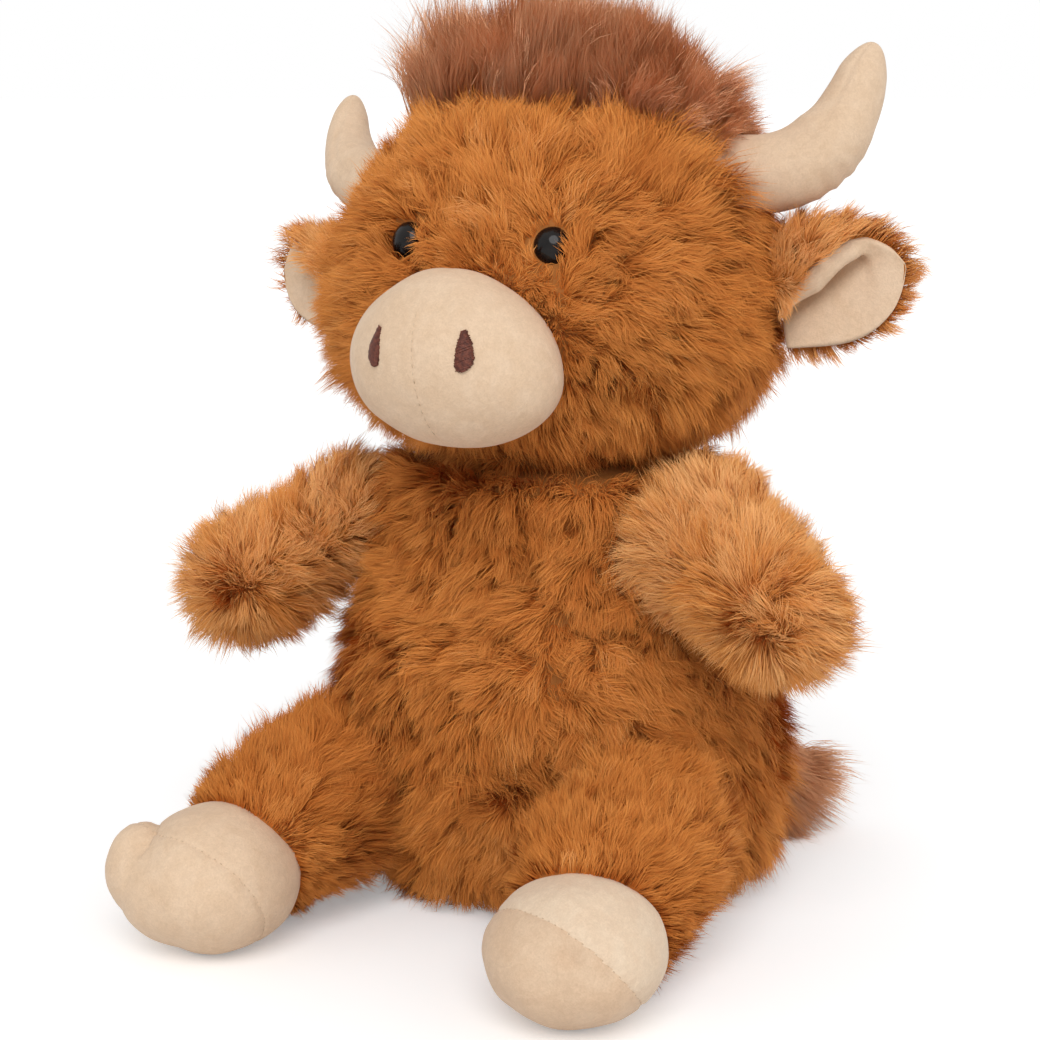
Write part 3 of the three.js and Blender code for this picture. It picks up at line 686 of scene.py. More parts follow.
forelock = {
    "half": 58, "halfDepth": 28, "setBack": 4, "aside": 4,
    "quarters": (-54, 29),  # its pile is four pieces: where they start, and how wide each is
    "look": {"length": 45.5, "spread": 0.2, "width": 0.3, "steps": 5, "lean": (2, 32), "curl": 0.14,
             "droop": 0.2, "tufts": [(11.0, 0.4, 0.35), (5.0, 0.76, 0.3)], "rise": 0.13, "swirl": 0.3,
             "swirlSize": 32, "stray": 0.1, "soft": 0.5, "tone": 0.56, "toneTuft": 0.07, "toneStrand": 0.055},
}


def underForelock(points, share):
    x = (points[:, 0] - forelock["aside"]) / (forelock["half"] * share)
    y = (points[:, 1] - forelock["setBack"]) / (forelock["halfDepth"] * share)
    return (points[:, 2] > 240) & (y ** 2 < np.maximum(1 - 0.8 * x ** 2, 0)) & (np.abs(x) < 1)


hornRoots = {"left": (68, 10, 272, 6), "right": (62, -4, 256, 13)}  # and how far round them no hair grows
hornCorner = (59, -20, 260)  # the long hair in front of the left horn
earRoots = {name: pivotOf(f"ear_{name}_flap") for name in sides}


def besideEye(points, base, sign):
    # 1 where the hair falls over the eye's outer lower edge
    return np.clip(sign * (points[:, :1] - base[0]) / 5 - (points[:, 2:] - base[2]) / 12, 0, 1)


def headComb(points, normals):
    front = np.clip((25 - points[:, 1:2]) / 60, 0, 1)
    way = front * unit(points - np.array([0, -66, 222])) + (1 - front) * np.array([0, 0.1, -1])
    way[:, 2] -= 0.25 * np.clip((215 - points[:, 2]) / 30, 0, 1)
    way += away(points, head["browWhorl"], 6, 1.4) + away(points, head["cheekWhorl"], 9, 1.2)
    for name, sign in sides.items():
        base, out = eyeSeat(sign)
        outer = besideEye(points, base, sign)
        way += away(points, base, 9, 2.0) * (1 - outer) - away(points, base, 7.5, 1.3) * outer
    return way


def makeHead():
    points, faces = swell(head["profile"], 96, 64, headDepth)
    points = lumpy(points, 30, 1.6, 3)
    points += away(points, head["drawnIn"], 17, -4.0)
    skin = addMesh("head_pelt_skin", points, faces, caramelCloth, "head")
    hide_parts("head_pelt", "head_stuffing")

    roots, normals = rootsOn(skin, density, 12)
    middle, half = np.array(head["muzzle"]), np.array(head["muzzleHalf"])
    keep = rimOf(roots, middle, half * 0.95) > 1
    keep &= ~((normals[:, 2] < -0.75) & (np.hypot(roots[:, 0], roots[:, 1]) < head["neckRadius"]))
    for name, sign in sides.items():
        keep &= distance(roots, eyeSeat(sign)[0]) > head["eyeClear"]
        keep &= distance(roots, mirrorX(hornRoots[name][:3], sign)) > hornRoots[name][3]
    keep &= ~underForelock(roots, 0.97)

    def lengthAt(points):
        def grown(least, far, reach):
            return np.clip(least + far / reach, least, 1)
        length = grown(0.55, rimOf(points, middle, half) - 1.0, 1 / 1.3) * grown(0.45, points[:, 2] - 166, 22)
        for name, sign in sides.items():
            base = eyeSeat(sign)[0]
            least = 0.5 + 0.12 * besideEye(points, base, sign)[:, 0]
            length *= grown(least, distance(points, base) - head["eyeClear"], 16)
            length *= grown(0.4, distance(points, earRoots[name]) - 12, 16)
        length *= grown(0.3, distance(points, mirrorX(hornRoots["right"][:3], -1)) - 18, 24)
        return (length * (1 + 0.6 * near(points, hornCorner, 420))
                * (1 - 0.2 * near(points, head["slimCheek"], 1400)))

    def leanAt(points):
        ruffled = sum(near(points, mirrorX(head["cheekWhorl"], sign), 500) for sign in (1, -1))
        return (np.clip(0.4 + 2.2 * (rimOf(points, middle, half) - 1), 0.4, 1) * (1 - 0.6 * ruffled)
                * (1 - 0.35 * near(points, hornCorner, 420)))
    growPile("head_pile", roots[keep], normals[keep], headComb, head["look"], 22, caramelFur, "head",
             lengthAt, sectors(7), leanAt)


def makeNeck():
    # the plug that the head turns on, under its own short pile
    radius, height, flat = neck["radius"], neck["height"], neck["flat"]
    turn = np.linspace(0, np.pi, 20)
    profile = [(radius * math.sin(a), height - radius * math.cos(a) * flat) for a in turn]
    points, faces = swell(profile, 64, 24)
    skin = addMesh("neck_skin", points, faces, neckCloth, "neck")
    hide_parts("neck_stuffing")
    roots, normals = rootsOn(skin, density * 0.6, 13)
    middle, half = neck["pile"]
    band = np.abs(roots[:, 2] - middle) < half
    growPile("neck_pile", roots[band], normals[band], torsoComb, neck["look"], 23, caramelFur, "neck")


makeHead()
makeNeck()


# Muzzle: two short pile panels, a centre seam and satin stitched nostrils

muzzle = {"middle": (1.3, -76, 206.2), "half": (37.6, 29, 30), "belly": 0.12, "skew": 2.4, "reach": 138,
          "seamDepth": 0.15, "seamWidth": 0.8, "stitch": 2.6,
          "tuck": {"left": (30.5, -93, 218), "right": (31, -90, 190)}}


def muzzleFace(x, z):
    # the y of its front
    half = muzzle["half"]
    up = (z - muzzle["middle"][2]) / half[2]
    aside = muzzle["middle"][0] - muzzle["skew"] * up
    level = 1 - ((x - aside) / half[0] / (1 - muzzle["belly"] * up)) ** 2 - up ** 2
    return muzzle["middle"][1] - half[1] * np.sqrt(np.maximum(level, 0.0))


def makeMuzzle():
    rings, around = 44, 64
    middle, half = np.array(muzzle["middle"]) * (0, 1, 1), np.array(muzzle["half"])
    lean = np.radians(np.linspace(0, muzzle["reach"], rings))[1:]
    for name, sign in sides.items():
        a, t = np.meshgrid(lean, np.radians(np.linspace(-90, 90, around)), indexing="ij")
        way = np.stack([np.sin(a) * np.cos(t), -np.cos(a), np.sin(a) * np.sin(t)], -1)
        way[..., 0] *= 1 - muzzle["belly"] * way[..., 2]
        points = np.vstack([[(0, -half[1], 0)], (way * half).reshape(-1, 3)]) + middle
        facing = unit((points - middle) / half ** 2)
        seam = np.exp(-(points[:, 0] / muzzle["seamWidth"]) ** 2)
        pucker = 1 + 0.9 * np.sin(points[:, 2] * 2 * np.pi / muzzle["stitch"])
        pucker *= np.clip((230 - points[:, 2]) / 22, 0.15, 1)
        sink = -muzzle["seamDepth"] * seam * pucker + softLumps(points, 17, 0.7, 5)
        sink -= 1.5 * near(points, muzzle["tuck"][name], 5)  # a small tuck in the seam at the rim
        points = points + facing * sink[:, None]
        at = 1 + np.arange((rings - 1) * around).reshape(rings - 1, around)
        faces = [(0, at[0, k], at[0, k + 1]) for k in range(around - 1)] + gridFaces(at)
        points[:, 0] += 0.01
        up = (points[:, 2] - muzzle["middle"][2]) / muzzle["half"][2]
        points = mirrorX(points, sign)
        points[:, 0] += muzzle["middle"][0] - muzzle["skew"] * up
        panel = addMesh(f"muzzle_velboa_{name}", points, turnFaces(faces, sign), creamCloth, "head")
        thicken(panel, 0.0012)
        edges = panel.modifiers.new("edges", "EDGE_SPLIT")
        edges.split_angle = math.radians(60)
        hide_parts(f"muzzle_panel_{name}", *(["muzzle_stuffing"] if name == "left" else []))


def tube(path, radius, around):
    path = np.asarray(path, float)
    heading = unit(np.gradient(path, axis=0))
    flat = unit(np.cross(heading, (0.13, -0.9, 0.4)))
    over = np.cross(flat, heading)
    size = radius * np.sin(np.linspace(0.35, np.pi - 0.35, len(path))) ** 0.35
    ring = ringOf(flat, over, circle(around))
    return closedSkin(path[0], path[:, None] + ring * size[:, None, None], path[-1])


def addThreads(name, paths, radius, cloth, body, around):
    points, faces, count = [], [], 0
    for path in paths:
        p, f = tube(path, radius, around)
        points.append(p)
        faces += [tuple(i + count for i in face) for face in f]
        count += len(p)
    return addMesh(name, np.vstack(points), faces, cloth, body)


nostril = {"left": 18.8, "right": 15.4, "height": 212.2, "half": {"left": 2.95, "right": 2.5},
           "length": 13.0, "pitch": 0.4, "thread": 0.28, "lean": 1.8, "widest": 0.24}


def makeNostrils():
    rng = np.random.default_rng(5)
    for name, sign in sides.items():
        paths = []
        rows = int(nostril["length"] / nostril["pitch"])
        for row in range(rows):
            s = (row + 0.5) / rows  # from the round foot to the pointed top
            foot = nostril["widest"]
            half = (math.sqrt(1 - (1 - s / foot) ** 2) if s < foot else
                    0.28 + 0.72 * math.cos((s - foot) / (1 - foot) * math.pi / 2) ** 1.1)
            half = max(0.5, nostril["half"][name] * half + rng.normal(0, 0.13))
            middle = nostril[name] - nostril["lean"] * s ** 1.5 + rng.normal(0, 0.05)
            z = nostril["height"] + nostril["length"] * (s - 0.5)
            x = np.linspace(-half, half, 9)
            height = z + 0.45 * x + rng.normal(0, 0.05)
            rise = 0.1 + 0.6 * (1 - (x / half) ** 2) ** 0.5
            y = muzzleFace(sign * (middle + x), height) - rise
            paths.append(np.stack([sign * (middle + x), y, height], 1))
        piece = addThreads(f"nostril_thread_{name}", paths, nostril["thread"], brownSatin, "head", 7)
        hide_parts(f"nostril_{name}")


def makeMuzzleStitches():
    paths = []
    for z in np.arange(183, 224, muzzle["stitch"]):
        height = np.linspace(z, z + 1.3, 5)
        bow = np.array([0.3, 0.12, 0.08, 0.12, 0.3])
        x = muzzle["middle"][0] - muzzle["skew"] * (height - muzzle["middle"][2]) / muzzle["half"][2]
        face = muzzleFace(x, height)
        face -= softLumps(np.stack([0 * x, face, height], 1), 17, 0.7, 5)
        paths.append(np.stack([x, face + muzzle["seamDepth"] - 0.18 + bow, height], 1))
    addThreads("muzzle_seam_thread", paths, 0.2, creamSeam, "head", 6)


# Shank with two ribs, then the dome's edge; each is a radius and how far out it lies
eyes = {"radius": 6.6, "edge": 0.7, "rise": 4.9,
        "shank": [(2.2, -12.6), (2.2, -8.9), (2.6, -8.5), (2.2, -8.1), (2.2, -4.7), (2.6, -4.3), (2.2, -3.9),
                  (2.2, 0), (5.9, 0), (6.5, 0.25)], "shankEnd": -13}


def makeEyes():
    dome = [(eyes["radius"] * math.cos(a), eyes["edge"] + eyes["rise"] * math.sin(a))
            for a in np.linspace(0, np.pi / 2, 15)[:-1]]
    line, turn = np.array(eyes["shank"] + dome), circle(48)
    loops = np.stack([line[:, :1] * np.cos(turn), line[:, :1] * np.sin(turn), line[:, 1:] + 0 * turn], -1)
    points, faces = closedSkin((0, 0, eyes["shankEnd"]), loops, (0, 0, eyes["edge"] + eyes["rise"]))
    for name, sign in sides.items():
        base, out = eyeSeat(sign)
        piece = addMesh(f"eye_dome_{name}", alongWay(points, base, out), faces, blackPlastic, "head")
        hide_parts(f"eye_{name}")
        washer = frame["nodes"][f"eye_washer_{name}"]
        washer.data.materials.clear()
        washer.data.materials.append(whiteNylon)


makeMuzzle()
makeNostrils()
makeMuzzleStitches()
makeEyes()


# Horns

horns = {
    "left": {"root": (66.5, 4, 265.3), "reach": 45.2, "back": 19, "rise": 45.5, "radii": (14, 13.2, 6.6),
             "bend": -0.15},
    "right": {"root": (62.6, 0, 258.5), "reach": 39.5, "back": 30, "rise": 33.5, "radii": (15, 11.2, 5.6),
              "bend": 0.02},
    "tipShare": 0.84, "tuckedIn": 10,  # its root is inside the head
    "seams": (1.35, 4.5), "seamWidth": 0.09, "seamDepth": 0.55,
    "creaseShare": 0.42, "creaseReach": 0.12, "creaseRate": 95, "creaseDepth": 0.22,
}


def makeHorns():
    for name, sign in sides.items():
        horn = horns[name]
        start = np.array(horn["root"], float)
        end = start + (horn["reach"], horn["back"], horn["rise"])
        out = start + (horn["reach"] * 0.82, horn["back"] * 0.2, -2)
        over = end + (horn["reach"] * horn["bend"], -horn["back"] * 0.2, -horn["rise"] * 0.52)
        t = np.linspace(0, 1, 400)[:, None]
        path = (1 - t) ** 3 * start + 3 * (1 - t) ** 2 * t * out + 3 * (1 - t) * t * t * over + t ** 3 * end
        run = lengthAlong(path)
        share = 1 - (1 - np.linspace(0, 1, 72)) ** 1.8
        path = placesAlong(path, run, share * run[-1])
        path[:6] += (np.arange(6)[:, None] - 6) / 6 * horns["tuckedIn"] * unit(out - start)
        tip = np.maximum(0, share - horns["tipShare"]) / (1 - horns["tipShare"])
        radius = np.interp(share, [0, 0.5, 1], horn["radii"]) * np.sqrt(np.maximum(1 - tip ** 2, 0))
        heading = unit(np.gradient(path, axis=0))
        across = unit(np.cross(heading, (0, 1, 0)))
        turn = circle(64)
        ring = ringOf(across, np.cross(heading, across), turn)
        loops = (path[:, None] + ring * radius[:, None, None])[:-1]
        seam = sum(np.exp(-((np.abs(turn - at) / horns["seamWidth"]) ** 2)) for at in horns["seams"])
        along = share[:-1, None]
        crease = np.exp(-((along - horns["creaseShare"]) / horns["creaseReach"]) ** 2)
        crease = crease * np.sin(along * horns["creaseRate"]) * horns["creaseDepth"]
        dent = -horns["seamDepth"] * seam[None] + crease * (1 + np.cos(turn + 2.6))[None]
        bumps = softLumps(loops.reshape(-1, 3), 11, 0.55, 9).reshape(dent.shape)
        loops = loops + ring[:-1] * (dent + bumps)[:, :, None]
        points, faces = closedSkin(path[0], loops, path[-1])
        piece = addMesh(f"horn_velboa_{name}", mirrorX(points, sign), turnFaces(faces, sign), creamCloth,
                        "head")
        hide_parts(f"horn_{name}", f"horn_stuffing_{name}")


makeHorns()


# Forelock: a strip of long auburn pile over the crown

def makeForelock():
    # the sewn strip, a low saddle that follows the crown
    a, b = np.meshgrid(np.linspace(-1, 1, 61), np.linspace(-1, 1, 31), indexing="ij")
    x = forelock["aside"] + forelock["half"] * a
    y = forelock["setBack"] + forelock["halfDepth"] * b * np.sqrt(np.maximum(1 - 0.8 * a ** 2, 0))
    line = smoothLine(head["profile"], 160)
    order = line[:, 1] > 208
    radius = np.hypot(x, y / headDepth)
    z = np.interp(radius, line[order, 0][::-1], line[order, 1][::-1]) + 0.8
    strip = addMesh("forelock_strip", np.stack([x, y, z], -1).reshape(-1, 3),
                    gridFaces(np.arange(x.size).reshape(x.shape)), auburnCloth, "head")
    thicken(strip, 0.001)
    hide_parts("forelock")
    roots, normals = rootsOn(strip, density * 1.9, 14)

    def strandPlace(points):
        return ((points[:, 0] - forelock["aside"]) / forelock["half"],
                (points[:, 1] - forelock["setBack"]) / forelock["halfDepth"])

    def comb(points, normals):
        x, y = strandPlace(points)
        return np.stack([0.46 * x + 0.31, 0.5 * y, 0 * x], 1)

    def lengthAt(points):
        x, y = strandPlace(points)
        rank = np.interp(y, [-1, -0.75, -0.4, 0.2, 1], [0.55, 0.7, 0.92, 1, 0.86])
        return rank * np.interp(x, [-1, -0.8, -0.5, 0, 0.35, 0.7, 1],
                                [0.72, 0.84, 0.94, 0.98, 0.87, 0.76, 0.55])

    def leanAt(points):  # it stands up on one side and falls over towards the other
        x, y = strandPlace(points)
        return np.interp(x, [-1, -0.7, 0.3, 0.8, 1], [0.2, 0.2, 0.55, 1.45, 2.1]) + 0.5 * np.abs(y)

    start, width = forelock["quarters"]
    growPile("forelock_pile", roots, unit(normals * 0.04 + np.array([0, 0, 1])), comb,
             forelock["look"], 24, auburnFur, "head", lengthAt,
             lambda points: np.clip(((points[:, 0] - start) / width).astype(int), 0, 3), leanAt)


makeForelock()


# Arms

arms = {
    "turn": 27, "drop": {"left": 24.3, "right": 33.3}, "reach": 57, "elbow": 34,
    "whorl": {"left": (-15, -17, -3), "right": (-4, -15, -4)},
    "profile": {"left": [(0, -13), (20.5, -1), (18.3, 26), (16, 53), (11, 64), (0, 69.5)],
                "right": [(0, -9), (13.5, 1), (14.6, 27), (18.3, 54), (12.5, 69), (0, 75.5)]},
    # the arms' lighter tone is painted light, for the light the arms catch
    "look": {"lean": (10, 60), "length": 12.5, "swirl": 0.25, "tone": 0.79},
}


def makeArms():
    for name, sign in sides.items():
        body, pivot = f"arm_{name}", pivotOf(f"arm_{name}_raise")
        way = mirrorX(wayOf(-arms["turn"], arms["drop"][name]), sign)
        points, faces = swell(arms["profile"][name], 56, 40)
        skin = addMesh(f"arm_pelt_skin_{name}", lumpy(alongWay(points, pivot, way), 20, 1.4, 4 + sign), faces,
                       caramelCloth, body)
        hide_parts(f"arm_pelt_{name}", f"arm_stuffing_{name}")
        whorl = pivot + way * arms["reach"] + mirrorX(arms["whorl"][name], sign)

        def comb(points, normals):
            far = 1 - near(points, whorl, 26 ** 2)[:, None]
            return unit(points - whorl) * (1 - 0.3 * far) + far * np.array([0.1 * sign, 0.1, 0.12])
        roots, normals = rootsOn(skin, density, 30 + sign)
        keep = ~inTorso(roots)
        growPile(f"arm_pile_{name}", roots[keep], normals[keep], comb, arms["look"], 40 + sign, caramelFur,
                 body, split=lambda points: ((points - pivot) @ way > arms["elbow"]).astype(int),
                 leanAt=lambda points: 1 - 0.75 * near(points, whorl, 160))


makeArms()


# Legs and hooves

hooves = {
    "left": {"middle": (69.1, -121.3, 24.2), "half": (30, 30, 24.2), "sole": (-0.28, -0.66, -0.70), "set": 4,
             "bow": 2.6, "under": 0.9,  # how far up its seam bows; how much hair the leg has below
             "dents": [(10, -25, 8, 2.8, 3.0), (15, -22, 8, 2.6, -1.4), (5, -28, 2, 4.5, 1.5),
                       (16, -22, -2, 4.0, -1.3), (20, -18, 2, 2.2, 1.4), (-20, -12, 14, 9.0, 1.3)]},
    "right": {"middle": (69.5, -122, 25.5), "half": (28.5, 31, 25.5), "sole": (0.11, -0.874, -0.467),
              "set": 9, "bow": 0, "under": 0.45,
              "dents": [(10, -26, 11, 4.0, 0.7), (-14, -24, 10, 4.0, 0.6), (18, -20, 15, 3.0, 1.6)]},
    "lobe": (22, -12, 6), "lobeHalf": (13, 13, 13.5),
    "bridge": (12.8, -14, -2.4), "bridgeHalf": (15.8, 15, 16.4),
    "rings": 108, "around": 150,
    "seamDepth": 0.45, "seamWidth": 1.0, "stitch": 2.7,
}
legs = {
    # radius and place: in millimetres at the hip, then in shares of the way to the hoof
    "hip": [(0, -26), (21, -17), (25, 12)], "shin": [(24, 0.55), (22.5, 0.8), (18, 1), (0, 1.02)],
    "upper": 38,  # the pile is split at this height
    "look": {"lean": (10, 58), "length": 12, "swirl": 0.3, "tone": 0.47},
}


def makeLegs():
    for name, sign in sides.items():
        body, pivot = f"leg_{name}", pivotOf(f"leg_{name}_lift")
        hoof, hoofHalf = mirrorX(hooves[name]["middle"], sign), np.array(hooves[name]["half"])
        reach = np.linalg.norm(hoof - pivot)
        profile = legs["hip"] + [(radius, reach * share) for radius, share in legs["shin"]]
        points, faces = swell(profile, 64, 44)
        points = lumpy(alongWay(points, pivot, hoof - pivot), 24, 1.8, 8 + sign)
        points[:, 2] = np.maximum(points[:, 2], 1.5)
        skin = addMesh(f"leg_pelt_skin_{name}", points, faces, caramelCloth, body)
        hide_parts(f"leg_pelt_{name}", f"leg_stuffing_{name}")

        def beyond(points, least, rate):  # grows away from the hoof's rim
            return np.clip(least + rate * (rimOf(points, hoof, hoofHalf) - 1), least, 1)
        roots, normals = rootsOn(skin, density, 50 + sign)
        keep = ~inTorso(roots) & (rimOf(roots, hoof, hoofHalf * 0.98) > 1)
        growPile(f"leg_pile_{name}", roots[keep], normals[keep],
                 lambda points, normals: unit(points - hoof) + np.array([0.15 * sign, 0, 0.25]),
                 legs["look"], 60 + sign, caramelFur, body,
                 lambda points: (beyond(points, 0.55, 0.9)
                                 * np.clip(hooves[name]["under"] + points[:, 2] / 45, 0, 1)),
                 lambda points: (points[:, 2] > legs["upper"]).astype(int),
                 lambda points: beyond(points, 0.35, 1.6))


def farSide(points, centre, half):
    # how far a swelling reaches from the hoof's middle in the direction of each point
    heading, lobe = unit(points) / half, np.array(centre) / half
    ahead, scale = heading @ lobe, (heading ** 2).sum(1)
    inside = ahead ** 2 - scale * (lobe @ lobe - 1)
    return (ahead + np.sign(inside) * np.sqrt(np.abs(inside)) * np.where(inside < 0, 2, 1)) / scale


def meltInto(reach, swollen, width, pinch=0.0):
    blend = np.clip(0.5 + 0.5 * (swollen - reach) / width, 0, 1)
    return reach + blend * (swollen - reach) + (width - pinch) * blend * (1 - blend)


def hoofForm(name):
    # its points and faces, and how far each point lies on the sole's side of the seam
    hoof = hooves[name]
    middle, half, toSole = (np.array(hoof[key], float) for key in ("middle", "half", "sole"))
    toSole = unit(toSole)
    across = unit(np.array([1, 0, 0]) - toSole * toSole[0])
    high = np.cross(across, toSole)
    lean = np.linspace(0, np.pi, hooves["rings"] + 2)[1:-1, None, None]
    turn = circle(hooves["around"])[None, :, None]
    ways = np.cos(lean) * toSole + np.sin(lean) * (np.cos(turn) * across + np.sin(turn) * high)
    points, faces = closedSkin(toSole, ways, -toSole)
    points = points * half
    facing = unit(points / half ** 2)
    if name == "right":  # the pinched toe at the outer side of this one
        reach = np.linalg.norm(points, axis=1)
        grown = meltInto(reach, farSide(points, hooves["bridge"], hooves["bridgeHalf"]), 8)
        # pinched above, running into the sole below
        melt = np.interp(points[:, 2], [-8, 4, 16], [14, 10, 2.6])
        grown = meltInto(grown, farSide(points, hooves["lobe"], hooves["lobeHalf"]), melt,
                         7 * np.clip((points[:, 2] - 8) / 8, 0, 1))
        points = points * (grown / reach)[:, None]
    off = points @ toSole - hoof["set"] + hoof["bow"] * (1 - (points @ across / 28) ** 2)
    if name == "right":  # the seam passes behind the toe
        off += 12 * near(points, np.array(hooves["lobe"]) * 1.3, 200)
    angle = np.arctan2(points @ high, points @ across)
    pucker = np.sin(angle * 62 + 2 * np.sin(angle * 5))
    sink = -hooves["seamDepth"] * np.exp(-(off / hooves["seamWidth"]) ** 2)
    sink += (0.2 + softLumps(points, 9, 0.3, 31)) * pucker * np.exp(-((np.abs(off) - 1.8) / 2.2) ** 2)
    sink += softLumps(points, 17, 1.0, 12 + sides[name]) + softLumps(points, 6, 0.22, 14 + sides[name])
    for *spot, wide, deep in hoof["dents"]:
        sink -= deep * near(points, spot, 2 * wide ** 2)
    points = points + facing * sink[:, None] + middle
    points[:, 2] = np.maximum(points[:, 2], 0.0)
    return points, faces, off


def addHoofStitches(name, points, off):
    # along the seam, where each meridian crosses it
    shape, sign = (hooves["rings"], hooves["around"]), sides[name]
    grid, gridOff = points[1:-1].reshape(*shape, 3), off[1:-1].reshape(shape)
    row, column = (gridOff > 0).sum(0) - 1, np.arange(shape[1])
    part = (gridOff[row, column] / (gridOff[row, column] - gridOff[row + 1, column]))[:, None]
    seam = grid[row, column] * (1 - part) + grid[row + 1, column] * part
    seam = np.vstack([seam, seam[:1]])
    run = lengthAlong(seam)
    paths = []
    for start in np.arange(0, run[-1] - 2, hooves["stitch"]):
        line = placesAlong(seam, run, np.linspace(start, start + 1.1, 4))
        out = unit(line - np.array(hooves[name]["middle"])) * np.array([-0.35, 0.08, 0.08, -0.35])[:, None]
        paths.append(mirrorX(line + out, sign))
    addThreads(f"hoof_seam_thread_{name}", paths, 0.17, creamSeam, f"leg_{name}", 6)


def makeHooves():
    for name, sign in sides.items():
        points, faces, off = hoofForm(name)
        addHoofStitches(name, points, off)
        centre = np.array([off[list(face)].mean() for face in faces])
        for label, chosen in (("upper", centre <= 0), ("sole", centre > 0)):
            part = [face for face, pick in zip(turnFaces(faces, sign), chosen) if pick]
            used = np.unique(np.concatenate([np.array(face) for face in part]))
            place = {int(v): i for i, v in enumerate(used)}
            part = [tuple(place[int(v)] for v in face) for face in part]
            # the left hoof's upper gets painted light and its sole painted shade; the right hoof is one cream
            cloth = creamCloth if name == "right" else paintedLitCloth if label == "upper" else paintedShadeCloth
            piece = addMesh(f"hoof_velboa_{label}_{name}", mirrorX(points[used], sign), part, cloth,
                            f"leg_{name}")
            inside = [f"hoof_stuffing_{name}"] if label == "sole" else []
            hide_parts(f"hoof_{label}_{name}", *inside)


makeLegs()
makeHooves()


# Ears: long pile backs that fold over short pile linings

# The leaf's half widths above and below its middle line, at shares of the length
ears = {"length": {"left": 45.5, "right": 44}, "start": -5, "turn": 14, "lift": {"left": 13, "right": 3},
        "half": {"left": 20, "right": 17}, "set": {"left": -2, "right": -0.5},
        # the ear pile's lighter tone is painted light on strands that the ear itself shades
        "look": {"length": 10.5, "lean": (14, 62), "swirl": 0.12, "tone": 0.8, "droop": 0.05,
                 "tufts": [(8.0, 0.45, 0.25), (4.0, 0.72, 0.2)]},
        "above": {"left": [(0, 0.8), (0.3, 0.95), (0.5, 0.88), (0.66, 0.76), (0.8, 0.6), (0.92, 0.38),
                           (1, 0.06)],
                  "right": [(0, 0.75), (0.3, 0.9), (0.6, 0.9), (0.78, 0.84), (0.91, 0.64), (1, 0.12)]},
        "below": [(0, 0.98), (0.3, 1.07), (0.5, 1.08), (0.68, 0.97), (0.85, 0.7), (0.95, 0.36), (1, 0.05)]}


def earFrame(name):
    turn, lift = math.radians(ears["turn"]), math.radians(ears["lift"][name])
    front = np.array([math.sin(turn), -math.cos(turn), 0])
    high = unit(np.array([-math.sin(lift), 0, math.cos(lift)]))
    return (mirrorX(way, sides[name]) for way in (wayOf(ears["turn"], -ears["lift"][name]), front, high))


# The ear's cross section at shares of its length: up the lining to its fold, then over the top and down the
# back to where it began
earSections = [
    (0.0, [(-1.0, 0.05), (-0.8, -0.02), (-0.6, -0.12), (-0.42, -0.32), (-0.24, -0.28), (-0.24, -0.08),
           (-0.4, 0.1), (-0.38, 0.2), (-0.3, 0.26)],
     [(0.05, 0.33), (0.45, 0.28), (0.8, 0.12), (1.0, -0.12), (0.8, -0.4), (0.3, -0.5), (-0.3, -0.4),
      (-0.85, -0.14)]),
    (0.33, [(-1.0, 0.05), (-0.6, -0.06), (-0.25, -0.2), (0.1, -0.46), (0.24, -0.38), (0.16, -0.1),
            (-0.1, 0.12), (-0.04, 0.26), (0.15, 0.34), (0.38, 0.33)],
     [(0.72, 0.28), (0.94, 0.1), (1.0, -0.12), (0.82, -0.4), (0.3, -0.54), (-0.3, -0.4), (-0.85, -0.14)]),
    (0.64, [(-1.0, 0.04), (-0.6, -0.04), (-0.1, -0.16), (0.4, -0.38), (0.6, -0.32), (0.54, -0.06),
            (0.37, 0.1), (0.52, 0.22), (0.84, 0.2)],
     [(0.95, 0.12), (1.0, -0.06), (0.85, -0.3), (0.3, -0.42), (-0.3, -0.32), (-0.85, -0.12)]),
    (0.76, [(-1.0, 0.05), (-0.7, 0.0), (-0.2, -0.06), (0.3, -0.1), (0.6, -0.02), (0.85, 0.08), (0.96, 0.03)],
     [(0.99, -0.06), (0.8, -0.22), (0.3, -0.3), (-0.3, -0.26), (-0.85, -0.12)]),
    (0.88, [(-1.0, 0.05), (-0.75, 0.01), (-0.2, -0.04), (0.28, -0.02), (0.5, 0.01), (0.8, 0.07),
            (0.96, 0.02)],
     [(0.98, -0.06), (0.8, -0.2), (0.3, -0.26), (-0.3, -0.24), (-0.85, -0.12)]),
]
liningColumns = 33


def earSheets(name):
    out, front, high = earFrame(name)
    places = [place for place, lining, back in earSections]
    shapes = np.stack([np.vstack([smoothLine(lining, liningColumns + 1)[:-1],
                                  smoothLine([lining[-1], *back, lining[0]], 40)[:-1]])
                       for place, lining, back in earSections])
    leaves = [smoothLine(leaf, 80) for leaf in (ears["above"][name], ears["below"])]
    rows = []
    for s in np.linspace(0, 1, 34):
        after = min(int(np.searchsorted(places, s, "right")), len(places) - 1)
        part = np.clip((s - places[after - 1]) / (places[after] - places[after - 1]), 0, 1)
        part = 0.65 * part + 0.35 * part * part * (3 - 2 * part)
        loop = shapes[after - 1] * (1 - part) + shapes[after] * part
        above, below = (np.interp(s, leaf[:, 0], leaf[:, 1]) for leaf in leaves)
        size = np.where(loop[:, :1] > 0, above, below) * ears["half"][name]
        rows.append(earRoots[name] + out * (ears["start"] + s * ears["length"][name])
                    + high * (loop[:, :1] * size + ears["set"][name])
                    + front * (loop[:, 1:] * (above + below) / 2 * ears["half"][name] + 3.0 * s * (1 - s)))
    return np.stack(rows)


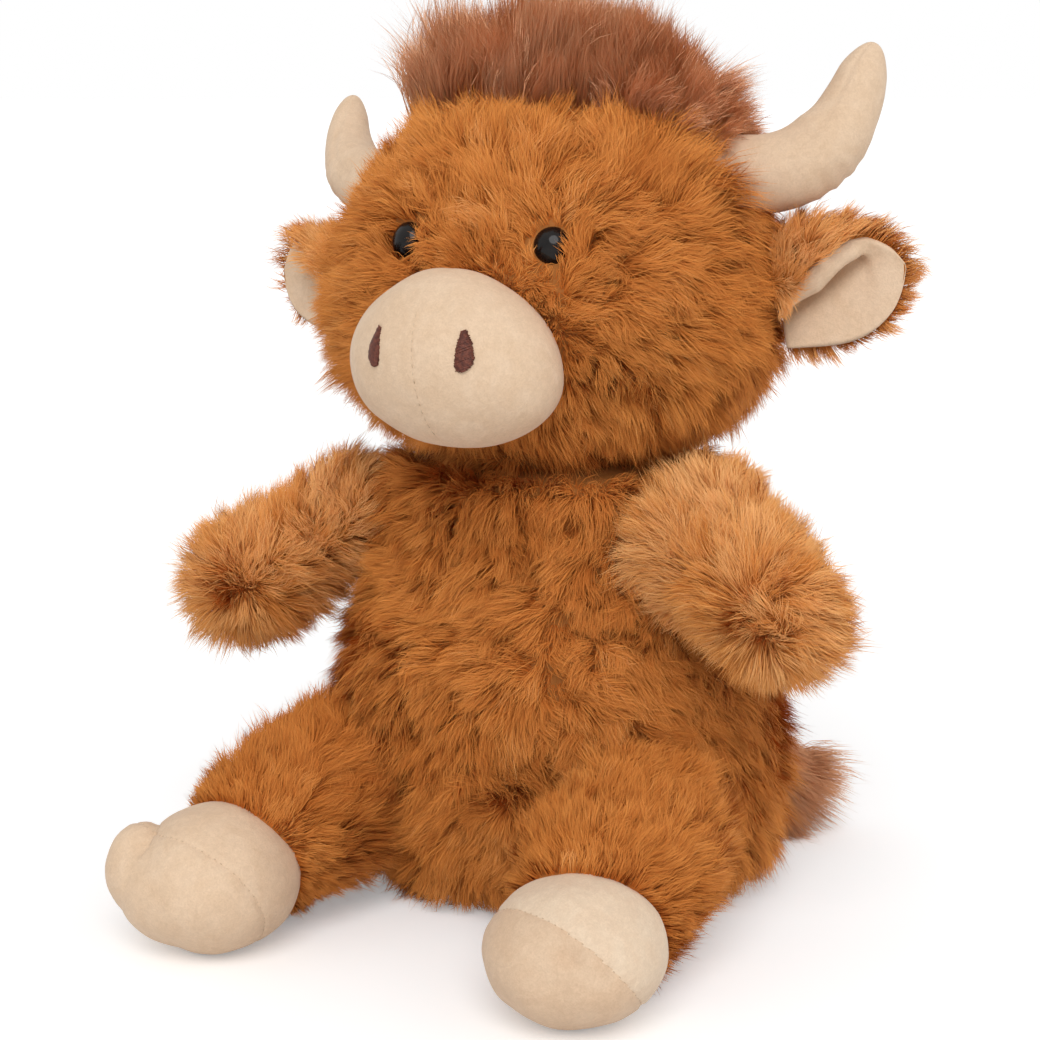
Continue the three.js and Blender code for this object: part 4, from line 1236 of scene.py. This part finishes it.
def makeEars():
    for name, sign in sides.items():
        body, rows = f"ear_{name}", earSheets(name)
        count = rows.shape[1]
        at = np.arange(rows.shape[0] * count).reshape(rows.shape[:2])

        def sheet(first, last):
            columns = np.arange(first, last + 1) % count
            a, b = at[:, columns[:-1]], at[:, columns[1:]]
            return np.stack([a[:-1], b[:-1], b[1:], a[1:]], -1).reshape(-1, 4).tolist()
        for label, node, first, last, cloth in (
                ("velboa", "lining", -1, liningColumns, creamCloth),
                ("pelt_skin", "back", liningColumns, count - 1, caramelCloth)):
            piece = addMesh(f"ear_{label}_{name}", rows.reshape(-1, 3), turnFaces(sheet(first, last), -sign),
                            cloth, body)
            thicken(piece, 0.0005)
            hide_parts(f"ear_{node}_{name}")
        out, front, high = earFrame(name)
        roots, normals = rootsOn(piece, density * 1.5, 70 + sign)
        centre = earRoots[name] + out * 8
        growPile(f"ear_pile_{name}", roots, normals,
                 lambda points, normals: 0.9 * out + unit(points - centre),
                 ears["look"], 80 + sign, caramelFur, body,
                 lambda points: ((1.08 - 0.2 * np.clip(((points - earRoots[name]) @ out - 30) / 8, 0, 1))
                                 * np.clip(1.05 + (points - earRoots[name]) @ high / 50, 0.72, 1)))


makeEars()


# Tail: a short sleeve and an auburn tassel

tail = {
    "aim": 8, "drop": 9, "knot": 23, "bare": 21,  # the sleeve has no hair beyond this
    "sleeveProfile": [(0, -5), (4.5, 0), (4.5, 20), (4.0, 26), (0, 28)],
    "knotProfile": [(0, 17), (5.5, 18), (6.0, 22), (5.0, 27), (0, 29)],
    "look": {"length": 9, "lean": (25, 70), "swirl": 0.1},
    "tassel": {"length": 29, "spread": 0.2, "width": 0.3, "steps": 5, "lean": (46, 78), "curl": 0.14,
               "droop": 0.65, "tufts": [(5.0, 0.1, 0.3), (2.4, -0.9, 0.2)], "swirl": 0.25, "swirlSize": 30,
               "rise": 0.12},
}


def makeTail():
    way, pivot = wayOf(tail["aim"], tail["drop"]), pivotOf("tail_swing")

    def comb(points, normals):
        return np.tile(way, (len(points), 1))
    points, faces = swell(tail["sleeveProfile"], 28, 24)
    skin = addMesh("tail_skin", alongWay(points, pivot, way), faces, caramelCloth, "tail")
    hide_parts("tail_sleeve")
    roots, normals = rootsOn(skin, density * 1.2, 15)
    sleeve = (roots - pivot) @ way < tail["bare"]
    growPile("tail_pile", roots[sleeve], normals[sleeve], comb, tail["look"], 25, caramelFur, "tail")
    points, faces = swell(tail["knotProfile"], 28, 18)
    knot = addMesh("tassel_knot", alongWay(points, pivot, way), faces, auburnCloth, "tail")
    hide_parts("tail_tassel")
    roots, normals = rootsOn(knot, density * 7, 16)

    def lengthAt(points):
        aside = (points - pivot - way * tail["knot"]) / 6
        return (1 - 0.45 * np.clip(aside[:, 1], 0, 1)) * (1 - np.clip(aside[:, 2], -0.4, 1) * 0.4)
    growPile("tassel_pile", roots, normals, comb, tail["tassel"], 26, auburnFur, "tail", lengthAt)


makeTail()
